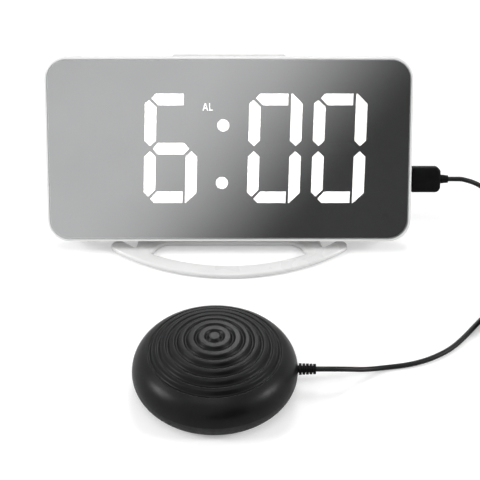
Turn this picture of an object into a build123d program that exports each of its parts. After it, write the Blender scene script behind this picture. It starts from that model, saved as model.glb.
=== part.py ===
from build123d import *
from math import asin, atan, cos, degrees, hypot, pi, radians, sin, sqrt, tan
import os

# Bed shaker alarm clock: a mirror clock leaning on a ring stand, and the vibrating puck on its cord.
# Millimetres and degrees. The origin is on the table, midway between the puck's front and the head's
# back and midway between the head's sides. +X is the clock's left-to-right as it is read, +Y runs from
# the reader to the back, and +Z is up.

os.makedirs("parts", exist_ok=True)

# General fits
overrun = 1.0  # how far a cut runs past the wall that it opens
fit_gap = 0.1  # between fixed pieces that drop into each other
slide_gap = 0.3  # round a piece that slides or turns by hand
shaft_gap = 0.05  # round a turning shaft
thread_gap = 0.05  # between a screw's shank and its hole

# Clock head
recline = radians(27.0)  # lean of the face, back from upright
lens_width = 192.0
lens_height = 96.0
lens_thickness = 2.0
lens_corner = 10.6
lens_edge_cut = 0.35
rim = 1.2  # white frame that shows round the lens
rim_rounding = 0.5
head_depth = 18.0
frame_depth = 7.5
head_wall = 1.8
rear_wall = 2.0
rear_rounding = 4.0
lens_ledge = 2.4  # bearing of the lens on the frame
lip_wall = 1.2  # tongue of the rear shell inside the frame
lip_height = 1.5
lip_root = 0.8
corner_screw_inset = 9.7
corner_boss_inner = 3.6
corner_boss_outer = 6.6
tower_radius = 3.8

head_width = lens_width + 2 * rim
head_height = lens_height + 2 * rim
head_corner = lens_corner + rim

# Stand
foot_proud = 0.7
foot_sunk = 0.8
foot_radius = 2.8
plate_thickness = 2.5
plate_top = foot_proud + plate_thickness
plate_top_bevel = 0.8
plate_bottom_bevel = 0.4
seat_gap = 0.1
crescent_radius = 98.0  # outer edge of the front band
crescent_width = 8.1
crescent_half_angle = 39.8
notch_rounding = 1.5
crescent_front = 20.5  # reach of the band in front of the lens's bottom edge
ring_radius = 50.8  # round rear half of the stand
ring_behind = -2.0
window_half_width = 42.0
window_rear = 7.4  # straight rear edge of the opening, behind the lens's bottom edge
window_corner = 8.0
window_rear_half_width = 37.0
neck_width = 46.0
neck_low = 4.0  # start of the neck above the head's bottom edge, along the back
neck_rise = 38.0
neck_thickness = 4.2
neck_wall = 2.2
neck_foot = 22.0  # depth of the neck where it meets the plate
neck_rounding = 1.4
neck_screw_spacing = 26.0
neck_screw_rise = 27.0
neck_boss_radius = 3.4
neck_boss_depth = 4.6
foot_places_shares = ((-0.5, -0.015), (0.5, -0.015), (-0.23, 0.37), (0.23, 0.37))

# Display
digit_width_share = 0.1469  # widths and places are shares of the lens's width and height
digit_height_share = 0.6083
digit_pitch_share = 0.1786
display_shift_share = -0.01745  # middle of the row from the middle of the lens
display_rise_share = 0.00625
segment_bar_share = 0.2163  # of the digit's width
digit_slant = radians(1.5)
colon_radius = 3.2
colon_half_height_share = 0.1604
colon_rise_share = -0.03125
indicator_width = 7.6
indicator_height = 5.6
indicator_shift_share = -0.0594
indicator_rise_share = 0.2396
diffuser_thickness = 1.5
reflector_thickness = 4.5
reflector_margin = 0.5  # between the reflector and the frame
reflector_notch = 10.4
board_margin = 4.0  # between the board's edge and the lens's
board_thickness = 1.6
light_length = 3.0
light_width = 1.4
light_height = 0.8
board_screw_left_inset = 6.0
board_screw_right_inset = 9.0
board_screw_height_share = 0.273
post_radius = 2.5
post_outer_inset = 12.0
post_outer_rise = 12.0
post_inner = 16.0
post_inner_inset = 10.0

# Screws
small_shank = 1.0
small_head = 2.0
small_head_height = 1.3
small_reach = 3.0
case_shank = 1.3
case_head = 2.5
case_head_height = 1.9
case_clear = 1.45
counterbore_radius = 2.9
counterbore_floor = 2.6
case_bite = 4.0

# Rear controls
button_length = 10.0
button_width = 6.0
button_proud = 1.0
button_flange = 1.0
button_flange_height = 1.0
button_stem = 1.5
button_travel = 0.6
button_pitch_share = 0.0859
button_rise_share = 0.2813
button_bevel = 0.6
switch_size = 6.0
switch_height = 3.5
plunger_radius = 1.7
plunger_height = 1.2
mode_inset = 35.2  # from the head's side
mode_slot_length = 11.0
mode_slot_width = 4.6
mode_knob_length = 4.4
mode_travel = 3.0
mode_proud = 1.0
mode_flange = 1.2
mode_flange_height = 1.1
mode_body_length = 13.0
mode_body_width = 6.6
mode_body_height = 4.6
mode_pin_length = 1.8
snooze_length = 60.0
snooze_width = 4.2
snooze_proud = 0.8
snooze_flange = 0.6
snooze_flange_height = 1.5
snooze_depth = 11.3
snooze_stem_length = 8.0
snooze_travel = 0.7
snooze_switch_drop = 4.0
snooze_switch_height = 3.4

# Battery, power and sound
battery_inset = 39.2
battery_rise = 27.2  # above the head's bottom edge
cell_radius = 10.0
cell_thickness = 3.2
cell_rounding = 0.4
cap_radius = 13.5
cap_flange = 1.0
cap_plug_radius = 11.2
cap_lug = 1.5
cap_lug_height = 0.7
cap_lug_angle = 40.0
cap_turn = 60.0
cap_slot_length = 12.0
cap_slot_width = 1.6
cap_slot_depth = 0.7
holder_wall = 1.4
holder_clear = 0.3
inlet_inset = 39.2
inlet_rise = 23.2
inlet_body = 10.0
inlet_nose_radius = 4.4
inlet_bore = 2.85
inlet_bore_depth = 8.5
inlet_pin = 1.0
buzzer_inset = 39.2
buzzer_rise = 3.0
buzzer_radius = 11.0
buzzer_height = 6.6
buzzer_port = 1.6
slot_length = 15.0
slot_width = 1.5
slot_pitch = 3.2
slot_count = 5
chip_size = 12.0
chip_height = 1.4
driver_length = 10.0
driver_width = 6.0
driver_inset = 28.0  # towards the middle from the buzzer
crystal_length = 8.0
crystal_radius = 1.5
capacitor_radius = 3.2
capacitor_height = 7.0
capacitor_inset = 12.0  # towards the middle from the inlet
parts_drop = -2.0

# Shaker socket and plug, a flat oval connector in the head's right side
socket_drop = -16.8
socket_width = 9.2
socket_height = 3.4
socket_wall = 0.35
socket_length = 8.6
socket_inset = 0.4
tongue_width = 6.6
tongue_thickness = 0.7
tongue_length = 5.6
socket_back = 1.2
plug_shell_width = 8.0
plug_shell_height = 2.3
plug_shell_wall = 0.3
plug_shell_reach = 6.2
collar_width = 10.0
collar_height = 4.2
collar_length = 1.3
overmould_width = 13.8
overmould_height = 7.2
overmould_length = 15.2
overmould_end_rounding = 3.1
overmould_rounding = 1.4
plug_relief_radius = 2.45
plug_relief_end_radius = 2.0
plug_relief_length = 4.3

# Shaker puck
puck_distance = 99.3  # its middle in front of the lens's bottom edge
puck_shift = -6.2
puck_radius = 40.0
puck_height = 31.0
puck_equator = 9.3
dome_radius = 60.0
puck_base_radius = 34.0
puck_wall = 2.4
groove_width = 2.0
groove_depth = 0.85
groove_floor_share = 0.5
hollow_shares = (0.5, 0.35, 0.18)
rib_place_shares = (0.092, 0.218, 0.34, 0.449, 0.558, 0.668, 0.775)
case_screw_circle = 28.0
case_screw_angle = 50.0
pillar_radius = 3.4
base_boss_radius = 4.2
gland_radius = 2.3
gland_bead_radius = 2.8
gland_bead_end_radius = 2.45
gland_bead_pitch = 1.72
gland_beads = 5
gland_core_radius = 1.75
gland_flange_radius = 3.6
gland_flange_width = 1.6
gland_set = 1.7  # how far the flange sits inside the wall
tongue_gap = 0.45
tongue_wall = 1.1
tongue_root = 2.0
tongue_height = 1.5
motor_radius = 10.0
motor_length = 24.0
motor_front = -8.0  # front face of the can from the puck's middle
motor_height = 13.5
motor_bevel = 0.8
cap_boss_radius = 3.2
cap_boss_length = 2.0
shaft_radius = 1.0
shaft_in = 9.0
shaft_tail = 0.8
weight_radius = 9.4
weight_hub_radius = 2.9
weight_width = 8.0
weight_gap = 1.6
cradle_length = 9.0
cradle_half_width = 16.0
cradle_top = 9.0
clamp_thickness = 1.2
clamp_screw_place = 13.4
clamp_screw_reach = 5.0

# Cord
cord_diameter = 2.6
floor_gap = 0.05
coil_gap = 0.6
coil_half_turns_per_layer = 7
coil_layers = 4
coil_outer_radius = 20.1
coil_x = 155.6
coil_y = -14.2
coil_start_angle = 141.7
coil_end_angle = 150.0
coil_in_run = 15.0
coil_out_run = 9.0
cord_lead = 7.8
corner_share = 0.45
tube_sides = 8
tie_thickness = 0.8
tie_width = 6.0
tie_gap = 0.2

# Places on the face and on the back that follow the lens's size
digit_width = digit_width_share * lens_width
digit_height = digit_height_share * lens_height
segment_bar = segment_bar_share * digit_width
digit_pitch = digit_pitch_share * lens_width
display_shift = display_shift_share * lens_width
display_rise = display_rise_share * lens_height
colon_half_height = colon_half_height_share * lens_height
colon_rise = colon_rise_share * lens_height
indicator_shift = indicator_shift_share * lens_width
indicator_rise = indicator_rise_share * lens_height
board_width = lens_width - 2 * board_margin
board_height = lens_height - 2 * board_margin
button_pitch = button_pitch_share * lens_width
button_rise = button_rise_share * lens_height
mode_shift = head_width / 2 - mode_inset
battery_shift = battery_inset - head_width / 2
battery_drop = battery_rise - head_height / 2
inlet_shift = head_width / 2 - inlet_inset
inlet_drop = inlet_rise - head_height / 2
buzzer_shift = head_width / 2 - buzzer_inset
driver_shift = buzzer_shift - driver_inset
capacitor_shift = inlet_shift - capacitor_inset

# Planes. Depths into the head are counted from the lens's front.
lens_edge_z = (
    plate_top
    + seat_gap
    + rear_rounding
    + (head_depth - rear_rounding) * sin(recline)
    - (rear_rounding - rim) * cos(recline)
)
rear_reach = (
    (lens_height + rim - rear_rounding) * sin(recline)
    + (head_depth - rear_rounding) * cos(recline)
    + rear_rounding
)
lens_edge_y = (puck_distance + puck_radius - rear_reach) / 2
puck_y = lens_edge_y - puck_distance
face = Plane(
    origin=(
        0,
        lens_edge_y + lens_height / 2 * sin(recline),
        lens_edge_z + lens_height / 2 * cos(recline),
    ),
    x_dir=(1, 0, 0),
    z_dir=(0, -cos(recline), sin(recline)),
)
outward = Axis(face.origin, face.z_dir)
board_front = lens_thickness + reflector_thickness
board_rear = board_front + board_thickness
inner_rear = head_depth - rear_wall


def layer(depth):
    """The plane parallel to the lens's front that lies the given depth inside the head."""
    return face.offset(-depth)


def back_layer(depth):
    """The same plane as layer(depth), but facing the back."""
    plane = face.offset(-depth)
    return Plane(origin=plane.origin, x_dir=(1, 0, 0), z_dir=-plane.z_dir)


def screw(plane, place, shank, reach, head, head_height):
    """One pan-head screw: its head stands on the plane and its shank runs the other way."""
    at = Plane(origin=plane.from_local_coords(place), x_dir=plane.x_dir, z_dir=plane.z_dir)
    with BuildPart(at) as one:
        with BuildSketch(at):
            Circle(head)
        extrude(amount=head_height)
        with BuildSketch(at):
            Circle(shank)
        extrude(amount=-reach)
    return one.part


# Mirror lens: the half mirror that fills the face
with BuildPart() as mirror_lens:
    with BuildSketch(face):
        RectangleRounded(lens_width, lens_height, lens_corner)
    extrude(amount=-lens_thickness)
    chamfer(mirror_lens.faces().sort_by(outward)[-1].edges(), length=lens_edge_cut)
mirror_lens.part.label = "mirror_lens"
export_step(mirror_lens.part, "parts/mirror_lens.step")

# Front frame: white rim, ledge under the lens and four corner bosses
corner_x = head_width / 2 - corner_screw_inset
corner_y = head_height / 2 - corner_screw_inset
corner_places = [(i * corner_x, j * corner_y) for i in (-1, 1) for j in (-1, 1)]
boss_side = corner_boss_inner + corner_boss_outer
boss_shift = (corner_boss_outer - corner_boss_inner) / 2
opening_width = lens_width - 2 * lens_ledge
opening_height = lens_height - 2 * lens_ledge
lip_width = head_width - 2 * head_wall
lip_length = head_height - 2 * head_wall
lip_corner = head_corner - head_wall
with BuildPart() as front_frame:
    with BuildSketch(face):
        RectangleRounded(head_width, head_height, head_corner)
    extrude(amount=-frame_depth)
    fillet(front_frame.faces().sort_by(outward)[-1].edges(), radius=rim_rounding)
    with BuildSketch(face):
        RectangleRounded(lens_width + 2 * fit_gap, lens_height + 2 * fit_gap, lens_corner + fit_gap)
    extrude(amount=-lens_thickness, mode=Mode.SUBTRACT)
    with BuildSketch(layer(lens_thickness)):
        RectangleRounded(opening_width, opening_height, lens_corner - lens_ledge)
        for x, y in corner_places:
            with Locations((x + boss_shift * x / abs(x), y + boss_shift * y / abs(y))):
                Rectangle(boss_side, boss_side, mode=Mode.SUBTRACT)
    extrude(amount=-(frame_depth - lens_thickness), mode=Mode.SUBTRACT)
    with BuildSketch(layer(frame_depth - lip_height - fit_gap)):
        RectangleRounded(lip_width + 2 * fit_gap, lip_length + 2 * fit_gap, lip_corner + fit_gap)
        with Locations(*corner_places):
            Rectangle(2 * corner_boss_inner, 2 * corner_boss_inner, mode=Mode.SUBTRACT)
    extrude(amount=-(lip_height + fit_gap), mode=Mode.SUBTRACT)
    with BuildSketch(layer(frame_depth)):
        with Locations(*corner_places):
            Circle(case_shank + thread_gap)
    extrude(amount=case_bite + fit_gap, mode=Mode.SUBTRACT)
front_frame.part.label = "front_frame"
export_step(front_frame.part, "parts/front_frame.step")

# Rear shell: the moulded back with its tongue, screw towers, control openings and sound slots
button_names = ["time_button", "alarm_button", "plus_button", "minus_button", "dimmer_button"]
button_places = [(i - (len(button_names) - 1) / 2) * button_pitch for i in range(len(button_names))]
slot_places = [(i - (slot_count - 1) / 2) * slot_pitch for i in range(slot_count)]
socket_depth = board_rear + socket_height / 2
neck_screw_level = -head_height / 2 + neck_screw_rise
neck_screw_places = [(i * neck_screw_spacing / 2, neck_screw_level) for i in (-1, 1)]
post_places = [(i * (board_width / 2 - post_outer_inset), post_outer_rise) for i in (-1, 1)]
post_places += [(i * post_inner, post_inner_inset - board_height / 2) for i in (-1, 1)]
side_plane = Plane(
    origin=layer(socket_depth).from_local_coords((head_width / 2, socket_drop)),
    x_dir=face.y_dir,
    z_dir=(1, 0, 0),
)
top_plane = Plane(
    origin=layer(snooze_depth).from_local_coords((0, head_height / 2)),
    x_dir=(1, 0, 0),
    z_dir=face.y_dir,
)
lug_reach = cap_plug_radius + cap_lug
lug_hole_angle = cap_lug_angle + degrees(2 * slide_gap / lug_reach)


def wedge(reach, middle_angle, spread):
    """Corners of a triangle on the sketch's origin that covers a sector of the given reach."""
    far = reach / cos(radians(spread / 2))
    corners = [(0, 0)]
    for angle in (middle_angle - spread / 2, middle_angle + spread / 2):
        corners.append((far * cos(radians(angle)), far * sin(radians(angle))))
    return corners


def battery_plane(depth):
    """A plane of the battery cap, facing the back, with its origin on the cap's axis."""
    origin = layer(depth).from_local_coords((battery_shift, battery_drop))
    return Plane(origin=origin, x_dir=(1, 0, 0), z_dir=-face.z_dir)


with BuildPart() as rear_shell:
    with BuildSketch(layer(frame_depth)):
        RectangleRounded(head_width, head_height, head_corner)
    extrude(amount=-(head_depth - frame_depth))
    fillet(rear_shell.faces().sort_by(outward)[0].edges(), radius=rear_rounding)
    with BuildSketch(layer(frame_depth)):
        RectangleRounded(lip_width, lip_length, lip_corner)
    extrude(amount=-(inner_rear - frame_depth), mode=Mode.SUBTRACT)
    with BuildSketch(layer(frame_depth + lip_root)):
        RectangleRounded(lip_width, lip_length, lip_corner)
        RectangleRounded(
            lip_width - 2 * lip_wall, lip_length - 2 * lip_wall, lip_corner - lip_wall, mode=Mode.SUBTRACT
        )
    extrude(amount=lip_root)
    with BuildSketch(layer(frame_depth)):
        RectangleRounded(lip_width, lip_length, lip_corner)
        RectangleRounded(
            lip_width - 2 * lip_wall, lip_length - 2 * lip_wall, lip_corner - lip_wall, mode=Mode.SUBTRACT
        )
    extrude(amount=lip_height)
    with BuildSketch(layer(frame_depth)):
        with Locations(*corner_places):
            Circle(tower_radius)
    extrude(amount=-(inner_rear - frame_depth))
    with BuildSketch(layer(inner_rear)):
        with Locations(*neck_screw_places):
            Circle(neck_boss_radius)
    extrude(amount=neck_boss_depth)
    with BuildSketch(layer(inner_rear)):
        with Locations(*post_places):
            Circle(post_radius)
    extrude(amount=inner_rear - board_rear)
    with BuildSketch(layer(head_depth)):
        with Locations(*corner_places):
            Circle(counterbore_radius)
    extrude(amount=head_depth - frame_depth - counterbore_floor, mode=Mode.SUBTRACT)
    with BuildSketch(layer(head_depth)):
        with Locations(*corner_places):
            Circle(case_clear)
    extrude(amount=head_depth - frame_depth + overrun, mode=Mode.SUBTRACT)
    with BuildSketch(layer(head_depth)):
        with Locations(*neck_screw_places):
            Circle(case_shank + thread_gap)
    extrude(amount=rear_wall + neck_boss_depth - overrun, mode=Mode.SUBTRACT)
    with BuildSketch(layer(head_depth)):
        with Locations(*[(x, button_rise) for x in button_places]):
            SlotOverall(button_length + 2 * slide_gap, button_width + 2 * slide_gap)
        with Locations((mode_shift, button_rise)):
            RectangleRounded(mode_slot_length, mode_slot_width, slide_gap)
        with Locations(*[(buzzer_shift, buzzer_rise + y) for y in slot_places]):
            SlotOverall(slot_length, slot_width)
        with Locations((inlet_shift, inlet_drop)):
            Circle(inlet_nose_radius + fit_gap)
    extrude(amount=rear_wall + overrun, mode=Mode.SUBTRACT)
    with BuildSketch(battery_plane(head_depth)):
        Circle(cap_radius + slide_gap)
    extrude(amount=-(cap_flange + slide_gap), mode=Mode.SUBTRACT)
    with BuildSketch(battery_plane(head_depth)):
        for angle in (cap_turn, cap_turn + 180):
            Polygon(*wedge(lug_reach + slide_gap, angle, lug_hole_angle), align=None)
        Circle(lug_reach + slide_gap, mode=Mode.INTERSECT)
        Circle(cap_plug_radius + slide_gap)
    extrude(amount=-(rear_wall + overrun), mode=Mode.SUBTRACT)
    with BuildSketch(top_plane):
        RectangleRounded(snooze_length + 2 * slide_gap, snooze_width + 2 * slide_gap, snooze_width / 3)
    extrude(amount=-(head_wall + overrun), mode=Mode.SUBTRACT)
    with BuildSketch(side_plane):
        SlotOverall(socket_width + 2 * fit_gap, socket_height + 2 * fit_gap)
    extrude(amount=-(head_wall + lip_wall + overrun), mode=Mode.SUBTRACT)
rear_shell.part.label = "rear_shell"
export_step(rear_shell.part, "parts/rear_shell.step")

# Segment outlines. Each corner is (x edge, bars from it, y edge, bars from it), where an edge is -1, 0
# or 1 half sizes of the digit and a bar is the segment's own width.
segment_shares = {
    "a": ((-1, 0.57, 1, -0.39), (-1, 0.92, 1, 0), (1, -1.26, 1, 0), (1, -1.26, 1, -1), (-1, 1.18, 1, -1)),
    "b": (
        (1, -1, 1, 0),
        (1, -0.88, 1, 0),
        (1, 0, 1, -0.88),
        (1, 0, 0, 0.7),
        (1, -0.5, 0, 0.23),
        (1, -1, 0, 0.7),
    ),
    "c": (
        (1, -1, -1, 0),
        (1, -0.92, -1, 0),
        (1, 0, -1, 0.88),
        (1, 0, 0, -0.7),
        (1, -0.5, 0, -0.23),
        (1, -1, 0, -0.7),
    ),
    "d": ((-1, 0.58, -1, 0.36), (-1, 1.15, -1, 1), (1, -1.22, -1, 1), (1, -1.22, -1, 0), (-1, 0.92, -1, 0)),
    "e": (
        (-1, 0.5, 0, -0.23),
        (-1, 1, 0, -0.7),
        (-1, 1, -1, 1.16),
        (-1, 0.4, -1, 0.56),
        (-1, 0, -1, 0.95),
        (-1, 0, 0, -0.7),
    ),
    "f": (
        (-1, 0.5, 0, 0.23),
        (-1, 1, 0, 0.7),
        (-1, 1, 1, -1.15),
        (-1, 0.36, 1, -0.56),
        (-1, 0, 1, -0.84),
        (-1, 0, 0, 0.7),
    ),
    "g": (
        (-1, 0.75, 0, 0),
        (-1, 1.17, 0, 0.5),
        (1, -1.17, 0, 0.5),
        (1, -0.72, 0, 0),
        (1, -1.17, 0, -0.5),
        (-1, 1.17, 0, -0.5),
    ),
}
digit_places = [display_shift + k * digit_pitch for k in (-1.8, -0.806, 0.806, 1.806)]
digits_lit = ["", "acdefg", "abcdef", "abcdef"]
light_shares = {
    "a": ((-0.3, 1), (0.3, 1)),
    "g": ((-0.3, 0), (0.3, 0)),
    "d": ((-0.3, -1), (0.3, -1)),
    "b": ((1, 0.3), (1, 0.68)),
    "c": ((1, -0.3), (1, -0.68)),
    "e": ((-1, -0.3), (-1, -0.68)),
    "f": ((-1, 0.3), (-1, 0.68)),
}


def slanted(x, y, digit_x):
    """A point of an upright digit moved to its place and leaned by the display's slant."""
    return (digit_x + x + y * tan(digit_slant), display_rise + y)


def segment_corners(name, digit_x):
    """The corners of one segment of the digit that stands at digit_x."""
    corners = []
    for x_edge, x_bars, y_edge, y_bars in segment_shares[name]:
        x = x_edge * digit_width / 2 + x_bars * segment_bar
        y = y_edge * digit_height / 2 + y_bars * segment_bar
        corners.append(slanted(x, y, digit_x))
    return corners


def draw_segments(chosen):
    """Faces of the chosen (segment, digit place) pairs in the sketch that is open."""
    for name, digit_x in chosen:
        Polygon(*segment_corners(name, digit_x), align=None)


lit = [(s, x) for x, names in zip(digit_places, digits_lit) for s in names]
unlit = [(s, x) for x, names in zip(digit_places, digits_lit) for s in "abcdefg" if s not in names]
colon_places = [slanted(0, colon_rise + i * colon_half_height, display_shift) for i in (-1, 1)]
indicator_place = (indicator_shift, indicator_rise)

# Segment reflector: the black tray behind the lens, with a window for each segment
board_screw_columns = (board_screw_left_inset - board_width / 2, board_width / 2 - board_screw_right_inset)
board_screw_level = board_screw_height_share * board_height
board_screw_places = [(x, j * board_screw_level) for x in board_screw_columns for j in (-1, 1)]
with BuildPart() as segment_reflector:
    with BuildSketch(layer(lens_thickness)):
        Rectangle(opening_width - 2 * reflector_margin, opening_height - 2 * reflector_margin)
        for i, j in ((-1, -1), (-1, 1), (1, -1), (1, 1)):
            with Locations((i * opening_width / 2, j * opening_height / 2)):
                Rectangle(2 * reflector_notch, 2 * reflector_notch, mode=Mode.SUBTRACT)
    extrude(amount=-reflector_thickness)
    with BuildSketch(layer(lens_thickness)):
        draw_segments(lit + unlit)
        with Locations(*colon_places):
            Circle(colon_radius)
        with Locations(indicator_place):
            Rectangle(indicator_width, indicator_height)
        offset(amount=fit_gap, kind=Kind.INTERSECTION)
    extrude(amount=-reflector_thickness, mode=Mode.SUBTRACT)
    with BuildSketch(layer(board_front)):
        with Locations(*board_screw_places):
            Circle(small_shank + thread_gap)
    extrude(amount=small_reach + fit_gap, mode=Mode.SUBTRACT)
segment_reflector.part.label = "segment_reflector"
export_step(segment_reflector.part, "parts/segment_reflector.step")

# Diffusers: the lit segments, the segments that stay dark, the colon and the alarm indicator
with BuildPart() as lit_segments:
    with BuildSketch(layer(lens_thickness)):
        draw_segments(lit)
    extrude(amount=-diffuser_thickness)
lit_segments.part.label = "lit_segments"
export_step(lit_segments.part, "parts/lit_segments.step")

with BuildPart() as unlit_segments:
    with BuildSketch(layer(lens_thickness)):
        draw_segments(unlit)
    extrude(amount=-diffuser_thickness)
unlit_segments.part.label = "unlit_segments"
export_step(unlit_segments.part, "parts/unlit_segments.step")

with BuildPart() as colon_dots:
    with BuildSketch(layer(lens_thickness)):
        with Locations(*colon_places):
            Circle(colon_radius)
    extrude(amount=-diffuser_thickness)
colon_dots.part.label = "colon_dots"
export_step(colon_dots.part, "parts/colon_dots.step")

with BuildPart() as alarm_indicator:
    with BuildSketch(layer(lens_thickness)):
        with Locations(indicator_place):
            Rectangle(indicator_width, indicator_height)
    extrude(amount=-diffuser_thickness)
alarm_indicator.part.label = "alarm_indicator"
export_step(alarm_indicator.part, "parts/alarm_indicator.step")

# Main board with its screw holes
with BuildPart() as main_board:
    with BuildSketch(layer(board_front)):
        Rectangle(board_width, board_height)
        for i, j in ((-1, -1), (-1, 1), (1, -1), (1, 1)):
            with Locations((i * opening_width / 2, j * opening_height / 2)):
                Rectangle(2 * reflector_notch, 2 * reflector_notch, mode=Mode.SUBTRACT)
        with Locations(*board_screw_places):
            Circle(small_shank + fit_gap, mode=Mode.SUBTRACT)
    extrude(amount=-board_thickness)
main_board.part.label = "main_board"
export_step(main_board.part, "parts/main_board.step")

board_screw_reach = board_thickness + small_reach
board_screw_solids = [
    screw(back_layer(board_rear), (x, -y), small_shank, board_screw_reach, small_head, small_head_height)
    for x, y in board_screw_places
]
with BuildPart() as board_screws:
    add(board_screw_solids)
board_screws.part.label = "board_screws"
export_step(board_screws.part, "parts/board_screws.step")

# Segment lights on the board's front: two behind each segment, one behind each dot and the indicator
with BuildPart() as segment_lights:
    with BuildSketch(layer(board_front)):
        for name, digit_x in lit + unlit:
            level = name in "agd"
            for share_x, share_y in light_shares[name]:
                x = share_x * (digit_width / 2 - (0 if level else segment_bar / 2))
                y = share_y * (digit_height / 2 - (segment_bar / 2 if level else 0))
                with Locations(slanted(x, y, digit_x)):
                    Rectangle(light_length if level else light_width, light_width if level else light_length)
        with Locations(*colon_places, indicator_place):
            Rectangle(light_width, light_length)
    extrude(amount=light_height)
segment_lights.part.label = "segment_lights"
export_step(segment_lights.part, "parts/segment_lights.step")

# Board parts on the rear: clock chip, two drivers, a crystal can and two capacitors
with BuildPart() as board_parts:
    with BuildSketch(back_layer(board_rear)):
        with Locations((0, -parts_drop)):
            Rectangle(chip_size, chip_size)
        with Locations((-driver_shift, -parts_drop), (driver_shift, -parts_drop)):
            Rectangle(driver_length, driver_width)
    extrude(amount=chip_height)
    with BuildSketch(back_layer(board_rear)):
        with Locations((0, -parts_drop + chip_size)):
            SlotOverall(crystal_length, 2 * crystal_radius)
    extrude(amount=2 * crystal_radius)
    with BuildSketch(back_layer(board_rear)):
        with Locations((capacitor_shift, -inlet_drop), (capacitor_shift, -inlet_drop + 3 * capacitor_radius)):
            Circle(capacitor_radius)
    extrude(amount=capacitor_height)
board_parts.part.label = "board_parts"
export_step(board_parts.part, "parts/board_parts.step")

# Tact switches under the five buttons and the snooze bar
snooze_switch_top = head_height / 2 - head_wall - snooze_flange_height - snooze_switch_drop
with BuildPart() as tact_switches:
    with BuildSketch(back_layer(board_rear)):
        with Locations(*[(x, -button_rise) for x in button_places]):
            Rectangle(switch_size, switch_size)
    extrude(amount=switch_height)
    with BuildSketch(back_layer(board_rear + switch_height)):
        with Locations(*[(x, -button_rise) for x in button_places]):
            Circle(plunger_radius)
    extrude(amount=plunger_height)
    with BuildSketch(back_layer(board_rear)):
        with Locations((0, -(snooze_switch_top - snooze_switch_height / 2))):
            Rectangle(switch_size, snooze_switch_height)
    extrude(amount=switch_size)
    with BuildSketch(top_plane.offset(snooze_switch_top - head_height / 2)):
        with Locations((0, 0)):
            Circle(plunger_radius)
    extrude(amount=plunger_height)
tact_switches.part.label = "tact_switches"
export_step(tact_switches.part, "parts/tact_switches.step")

# Rear buttons: oval caps with a flange inside the shell and a stem over the switch
stem_end = board_rear + switch_height + plunger_height + button_travel + fit_gap
flange_top = inner_rear - slide_gap
for button_name, button_x in zip(button_names, button_places):
    with BuildPart() as button:
        with BuildSketch(back_layer(flange_top)):
            with Locations((button_x, -button_rise)):
                SlotOverall(button_length, button_width)
        extrude(amount=head_depth + button_proud - flange_top)
        chamfer(button.faces().sort_by(outward)[0].edges(), length=button_bevel)
        with BuildSketch(back_layer(flange_top)):
            with Locations((button_x, -button_rise)):
                SlotOverall(button_length + 2 * button_flange, button_width + 2 * button_flange)
        extrude(amount=-button_flange_height)
        with BuildSketch(back_layer(flange_top - button_flange_height)):
            with Locations((button_x, -button_rise)):
                Circle(button_stem)
        extrude(amount=-(flange_top - button_flange_height - stem_end))
    button.part.label = button_name
    export_step(button.part, f"parts/{button_name}.step")

# Snooze bar in the head's top, with its flange and stem
with BuildPart() as snooze_bar:
    with BuildSketch(top_plane.offset(snooze_proud)):
        RectangleRounded(snooze_length, snooze_width, snooze_width / 3)
    extrude(amount=-(snooze_proud + head_wall + slide_gap))
    chamfer(
        snooze_bar.faces().sort_by(Axis(top_plane.origin, top_plane.z_dir))[-1].edges(),
        length=button_bevel,
    )
    with BuildSketch(top_plane.offset(-head_wall - slide_gap)):
        Rectangle(snooze_length + 6 * snooze_flange, snooze_width + 2 * snooze_flange)
    extrude(amount=-snooze_flange_height)
    with BuildSketch(top_plane.offset(-head_wall - slide_gap - snooze_flange_height)):
        RectangleRounded(snooze_stem_length, snooze_width - 2 * snooze_flange, snooze_flange)
    snooze_stem_end = snooze_switch_top + plunger_height + snooze_travel + fit_gap
    extrude(
        amount=-(head_height / 2 - head_wall - slide_gap - snooze_flange_height - snooze_stem_end)
    )
snooze_bar.part.label = "snooze_bar"
export_step(snooze_bar.part, "parts/snooze_bar.step")

# Alarm mode switch: its body on the board and the knob that slides in the rear shell
mode_body_top = board_rear + mode_body_height
with BuildPart() as mode_switch:
    with BuildSketch(back_layer(board_rear)):
        with Locations((mode_shift, -button_rise)):
            Rectangle(mode_body_length, mode_body_width)
    extrude(amount=mode_body_height)
    with BuildSketch(back_layer(mode_body_top)):
        with Locations((mode_shift, -button_rise)):
            Rectangle(mode_pin_length + 2 * mode_travel + 2 * slide_gap, mode_pin_length + 2 * slide_gap)
    extrude(amount=-mode_body_height / 2, mode=Mode.SUBTRACT)
mode_switch.part.label = "mode_switch"
export_step(mode_switch.part, "parts/mode_switch.step")

with BuildPart() as mode_knob:
    with BuildSketch(back_layer(flange_top)):
        with Locations((mode_shift, -button_rise)):
            RectangleRounded(mode_knob_length, mode_slot_width - 2 * slide_gap, button_bevel)
    extrude(amount=head_depth + mode_proud - flange_top)
    with BuildSketch(back_layer(flange_top)):
        with Locations((mode_shift, -button_rise)):
            Rectangle(mode_slot_length + 2 * mode_travel, mode_slot_width + 2 * mode_flange)
    extrude(amount=-mode_flange_height)
    with BuildSketch(back_layer(flange_top - mode_flange_height)):
        with Locations((mode_shift, -button_rise)):
            Rectangle(mode_pin_length, mode_pin_length)
    extrude(amount=-(flange_top - mode_flange_height - mode_body_top + mode_body_height / 2 - slide_gap))
mode_knob.part.label = "mode_knob"
export_step(mode_knob.part, "parts/mode_knob.step")

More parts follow.
